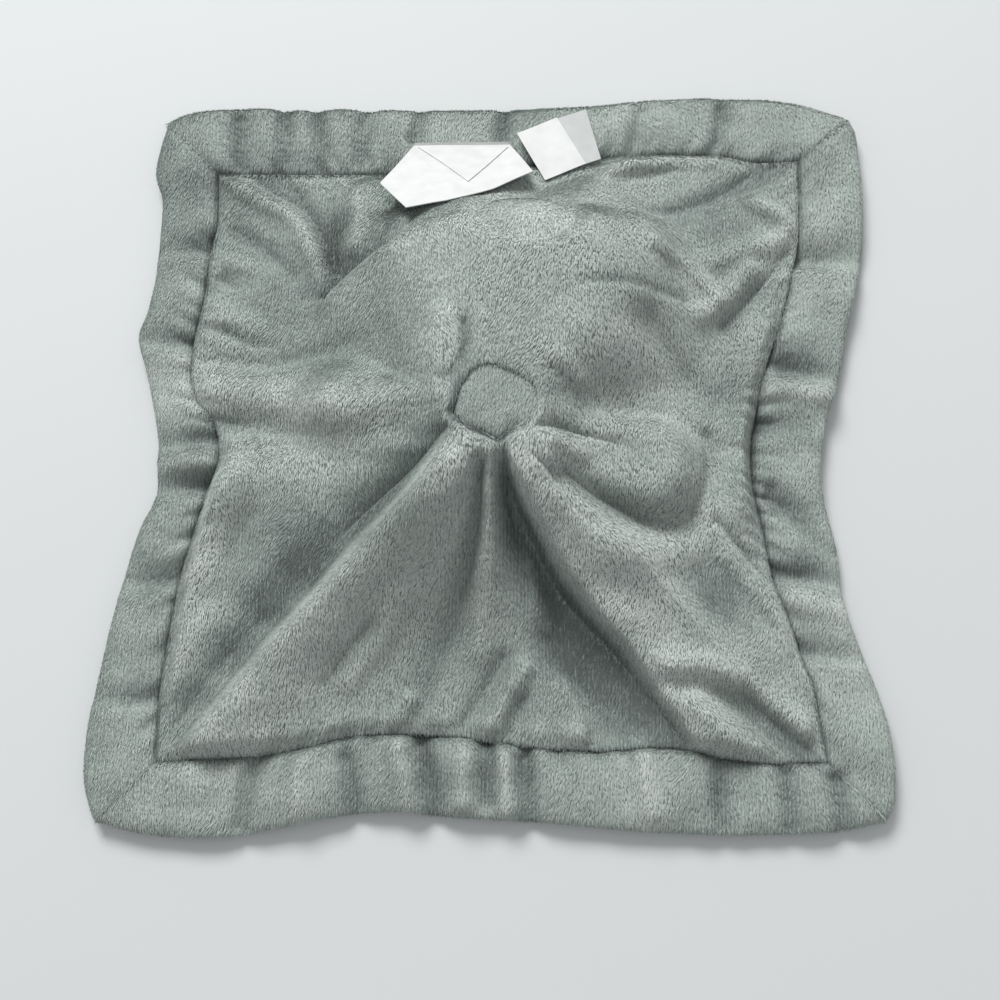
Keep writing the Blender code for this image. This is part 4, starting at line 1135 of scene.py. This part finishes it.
# Spots of painted light and painted shade.
# (place in the picture, reach in mm, tones up or down)
LIT_AND_SHADED_SPOTS = (
    ((265, 215), 24, -0.8), ((330, 215), 12, -0.6), ((262, 300), 20, -0.5), ((300, 350), 20, -0.3),
    ((520, 230), 30, 1.2), ((600, 220), 26, 1.0), ((440, 300), 24, 0.8), ((540, 300), 24, 0.6),
    ((715, 222), 22, -1.5), ((700, 290), 12, 0.9), ((775, 250), 8, 1.2), ((300, 408), 20, 0.8),
    ((190, 165), 22, -1.4), ((195, 300), 22, 0.2), ((185, 385), 22, 1.6), ((180, 450), 14, -0.8),
    ((640, 362), 20, 1.9), ((735, 400), 16, -2.0), ((735, 480), 14, -1.6), ((600, 470), 16, 0.4),
    ((760, 330), 10, 0.8), ((720, 592), 15, -2.4), ((640, 590), 14, 0.6), ((290, 455), 18, 0.8),
    ((285, 555), 18, -1.0), ((195, 560), 10, 1.2), ((178, 660), 12, 0.8), ((130, 620), 18, 0.5),
    ((800, 160), 14, -1.2), ((830, 250), 24, 1.2), ((850, 650), 26, 1.2), ((820, 510), 18, 0.4),
    ((580, 660), 16, -1.8), ((480, 690), 20, -0.4), ((400, 560), 20, -0.6), ((360, 640), 16, -0.6),
    ((240, 520), 15, -1.0), ((290, 518), 13, -0.8), ((224, 578), 10, -0.8), ((405, 526), 9, -0.8),
    ((333, 656), 8, -0.8), ((330, 125), 24, -0.1), ((250, 140), 16, -0.6), ((450, 118), 18, 0.6),
    ((640, 130), 26, 0.5), ((240, 790), 24, 0.6), ((420, 790), 24, -0.5), ((640, 790), 24, 0.2),
    ((760, 800), 26, -0.6), ((120, 760), 18, 0.4), ((880, 780), 16, -0.6), ((140, 128), 18, -0.8),
    ((495, 402), 13, -0.7), ((338, 564), 8, 1.3), ((304, 598), 8, 1.6), ((266, 638), 8, 1.7),
    ((232, 680), 8, 1.7), ((202, 722), 7, 1.4), ((296, 560), 9, -1.6), ((252, 600), 9, -1.8),
    ((218, 644), 8, -1.8), ((190, 690), 7, -1.6), ((556, 606), 7, -1.4), ((596, 656), 9, -1.5),
    ((640, 706), 8, -1.3), ((606, 600), 7, 0.9), ((655, 664), 7, 1.0), ((344, 212), 7, -1.2),
    ((326, 258), 7, -0.9), ((362, 226), 6, 1.0), ((300, 226), 6, 0.8), ((768, 386), 8, 0.8),
    ((790, 340), 12, -0.8), ((812, 560), 9, -1.2), ((808, 430), 9, -0.9),
)
lit_and_shaded_spots = [(sight(*pixel, 0.02), reach * MM, rise) for pixel, reach, rise in LIT_AND_SHADED_SPOTS]


def tone_of(x, y, strokes):
    """Which tone a tuft takes: streaks, patches and ribs, with painted highlight on ridges and painted shade in
    creases, at the seam and at the patch's edge.
    """
    i = np.rint(x / GRID_STEP + GRID_CELLS / 2).astype(int) % GRID_CELLS
    j = np.rint(y / GRID_STEP + GRID_CELLS / 2).astype(int) % GRID_CELLS
    brushed_and_painted_light = 0.9 * crumple(x, y, 0.026, 31.0) + 0.6 * crumple(x, y, 0.011, 32.0)
    brushed_and_painted_light += 0.65 * np.sin(2 * math.pi * x / RIB_STEP + 3.0 * crumple(x, y, 0.050, 33.0))
    # The spots add painted light and painted shade to the brushed patches.
    for place, reach, rise in lit_and_shaded_spots:
        brushed_and_painted_light += 1.2 * rise * np.exp(-(np.hypot(x - place.x, y - place.y) / reach) ** 2)
    # Painted highlight on ridges and painted shade in creases, from the folds' rise and fall.
    spread = np.clip(0.32 * carve(x, y, strokes) / MM, -3.4, 1.5)
    # Painted highlight and shade on the puckers, and painted shade along the seam.
    pucker, from_seam = puckers(x, y)
    spread += 1.6 * pucker - 2.4 * np.exp(-((from_seam / 0.0020) ** 2))
    # Painted shade at the patch's edge, deepest where the cloth is gathered tightly.
    from_rim = past_line(patch_line, x, y)
    spread -= 4.0 * gathered_at(x, y) * np.exp(-((from_rim / 0.0017) ** 2))
    tone = MIDDLE_TONE + 0.64 * np.clip(streaks[i, j], -1.9, 0.6) + brushed_and_painted_light + spread
    return np.clip(np.rint(tone), 0, len(TUFT_TONES) - 1).astype(np.int32)


print("brushed spots:", len(lit_and_shaded_spots))

# %% [markdown]
# A surface is combed first: each of its points gets the nap's direction and says whether pile
# grows there. Then the tree grows the tufts, and each takes its tone by where its root stands.


# %% Combing and growing
def comb(surface, lowest_normal=-0.2):
    """Gives a surface its nap, and says where it is covered."""
    mesh = surface.data
    count = len(mesh.vertices)
    place, facing = np.empty(count * 3), np.empty(count * 3)
    mesh.vertices.foreach_get("co", place)
    mesh.vertices.foreach_get("normal", facing)
    place, facing = place.reshape(-1, 3), facing.reshape(-1, 3)
    x, y = place[:, 0], place[:, 1]
    turn = nap_turn(x, y)
    nap = np.column_stack([np.cos(turn), np.sin(turn), np.zeros(count)])
    cover = (facing[:, 2] > lowest_normal).astype(float)
    mesh.attributes.new("nap", "FLOAT_VECTOR", "POINT").data.foreach_set("vector", nap.ravel())
    mesh.attributes.new("cover", "FLOAT", "POINT").data.foreach_set("value", cover)


def grow(name, surface, count, seed, strokes, length=0.0024, width=0.00034, lift=0.36):
    """About this many tufts on a combed surface, as a plain mesh."""
    mesh = surface.data
    cover = np.empty(len(mesh.vertices))
    mesh.attributes["cover"].data.foreach_get("value", cover)
    area = sum(face.area * np.mean(cover[list(face.vertices)]) for face in mesh.polygons)
    made = add_object(name, mesh.copy())
    nodes = made.modifiers.new("pile", "NODES")
    nodes.node_group = PILE
    values = {"Density": count / area, "Length": length, "Width": width, "Lift": lift, "Seed": seed}
    for item in PILE.interface.items_tree:
        if item.in_out == "INPUT" and item.name in values:
            nodes[item.identifier] = values[item.name]
    plain = make_plain(made)
    for extra in ("nap", "cover"):
        if extra in plain.attributes:
            plain.attributes.remove(plain.attributes[extra])
    place = np.empty(len(plain.vertices) * 3)
    plain.vertices.foreach_get("co", place)
    roots = place.reshape(-1, 4, 3).mean(axis=1)
    plain.materials.clear()
    for tone in TUFT_TONES:
        plain.materials.append(tone)
    # Each tuft's tone from tone_of carries painted light and shade from these strokes.
    plain.polygons.foreach_set("material_index", np.repeat(tone_of(roots[:, 0], roots[:, 1], strokes), 4))
    return made


# %% Growing the pile
PILE_SHARE = 1.0
CLOTH_TUFTS, BORDER_TUFTS, PATCH_TUFTS = 46000 * PILE_SHARE, 40000 * PILE_SHARE, 3600 * PILE_SHARE
comb(back_cloth, 0.05)
# Ripples count 1.7 times in the tone: painted shade in their hollows and painted highlight on the puffs between
# them.
painted_ripple_shade = [(1.7 * rise, reach, sharp, line) for rise, reach, sharp, line in ripples]
pile = [grow("pile_back_%d" % part, back_cloth, CLOTH_TUFTS, part, broad + fine) for part in range(1, 5)]
for part, (side, strip) in enumerate(border_strips.items()):
    comb(strip, -0.35)
    pile.append(grow("pile_border_" + side, strip, BORDER_TUFTS, 20 + part, painted_ripple_shade))
comb(patch, -0.2)
pile.append(grow("pile_patch", patch, PATCH_TUFTS, 30, []))
print("tufts:", sum(len(piece.data.polygons) for piece in pile) // 4)

# %% [markdown]
# ## Floor and light
#
# A plain pale floor, a large soft lamp beyond the blanket's top edge, and an even sky. The lamp is
# low enough for the folds to cast their own shade.

# %% Floor and light
FLOOR_HALF, FLOOR_LEVEL = 3, -0.0002
floor_corners = [(x * FLOOR_HALF, y * FLOOR_HALF, FLOOR_LEVEL) for x, y in ((-1, -1), (1, -1), (1, 1), (-1, 1))]
floor_mesh = bpy.data.meshes.new("floor")
floor_mesh.from_pydata(floor_corners, [], [(0, 1, 2, 3)])
floor_paint = new_material("floor", Base_Color=srgb(202, 205, 205), Roughness=0.7)[0]
floor = add_object("floor", floor_mesh, floor_paint)

lamp = bpy.data.objects.new("lamp", bpy.data.lights.new("lamp", "AREA"))
lamp.data.shape, lamp.data.size, lamp.data.size_y, lamp.data.energy = "RECTANGLE", 1.5, 1.1, 112.0
lamp.location = (-0.85, 2.36, 2.04)
lamp.rotation_euler = (Vector((0, 0, 0)) - lamp.location).to_track_quat("-Z", "Y").to_euler()
bpy.context.scene.collection.objects.link(lamp)

world = bpy.data.worlds.new("sky")
world.use_nodes = True
world.node_tree.nodes["Background"].inputs["Color"].default_value = (0.97, 0.985, 1.0, 1)
world.node_tree.nodes["Background"].inputs["Strength"].default_value = 0.56
bpy.context.scene.world = world
bpy.context.scene.view_settings.view_transform = "Standard"
print("lamp:", lamp.data.energy, "watts")

# %% [markdown]
# ## Which piece moves with which solid
#
# Every piece rides on a body and stands for the solid that it covers.

# %% Riding
strips = list(border_strips.values())
RIDERS = {
    "blanket": [back_cloth, front_cloth, patch, neck, care_tail, size_stub] + strips + pile,
    "head": [head, muzzle, nose] + eyes + ears + linings,
    "left_arm": arms[:1], "right_arm": arms[1:],
    "care_label": [care_flap, care_fold], "size_labels": [size_front, size_back],
}
for body, pieces in RIDERS.items():
    for piece in pieces:
        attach(piece, body)
print("riders:", {body: len(pieces) for body, pieces in RIDERS.items()})

# %% Standing for solids
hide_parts("back_panel")
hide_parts("front_panel")
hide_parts("neck_patch")
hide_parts("neck")
for side, strip in border_strips.items():
    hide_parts("border_" + side)
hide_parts("head_skin", "head_filling")
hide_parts("muzzle")
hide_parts("nose")
for side, eye, ear, lining, arm in zip(("left", "right"), eyes, ears, linings, arms):
    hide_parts("eye_" + side)
    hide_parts("ear_" + side)
    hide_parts("ear_lining_" + side)
    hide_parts("arm_" + side, "arm_filling_" + side)
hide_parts("care_label_flap")
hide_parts("care_label_tail")
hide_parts("size_label_front")
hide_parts("size_label_back")

# %% Soft goods
print("padded:", len(strips) + 1, "thinly and", 2 + len(ears + linings + arms), "fully")
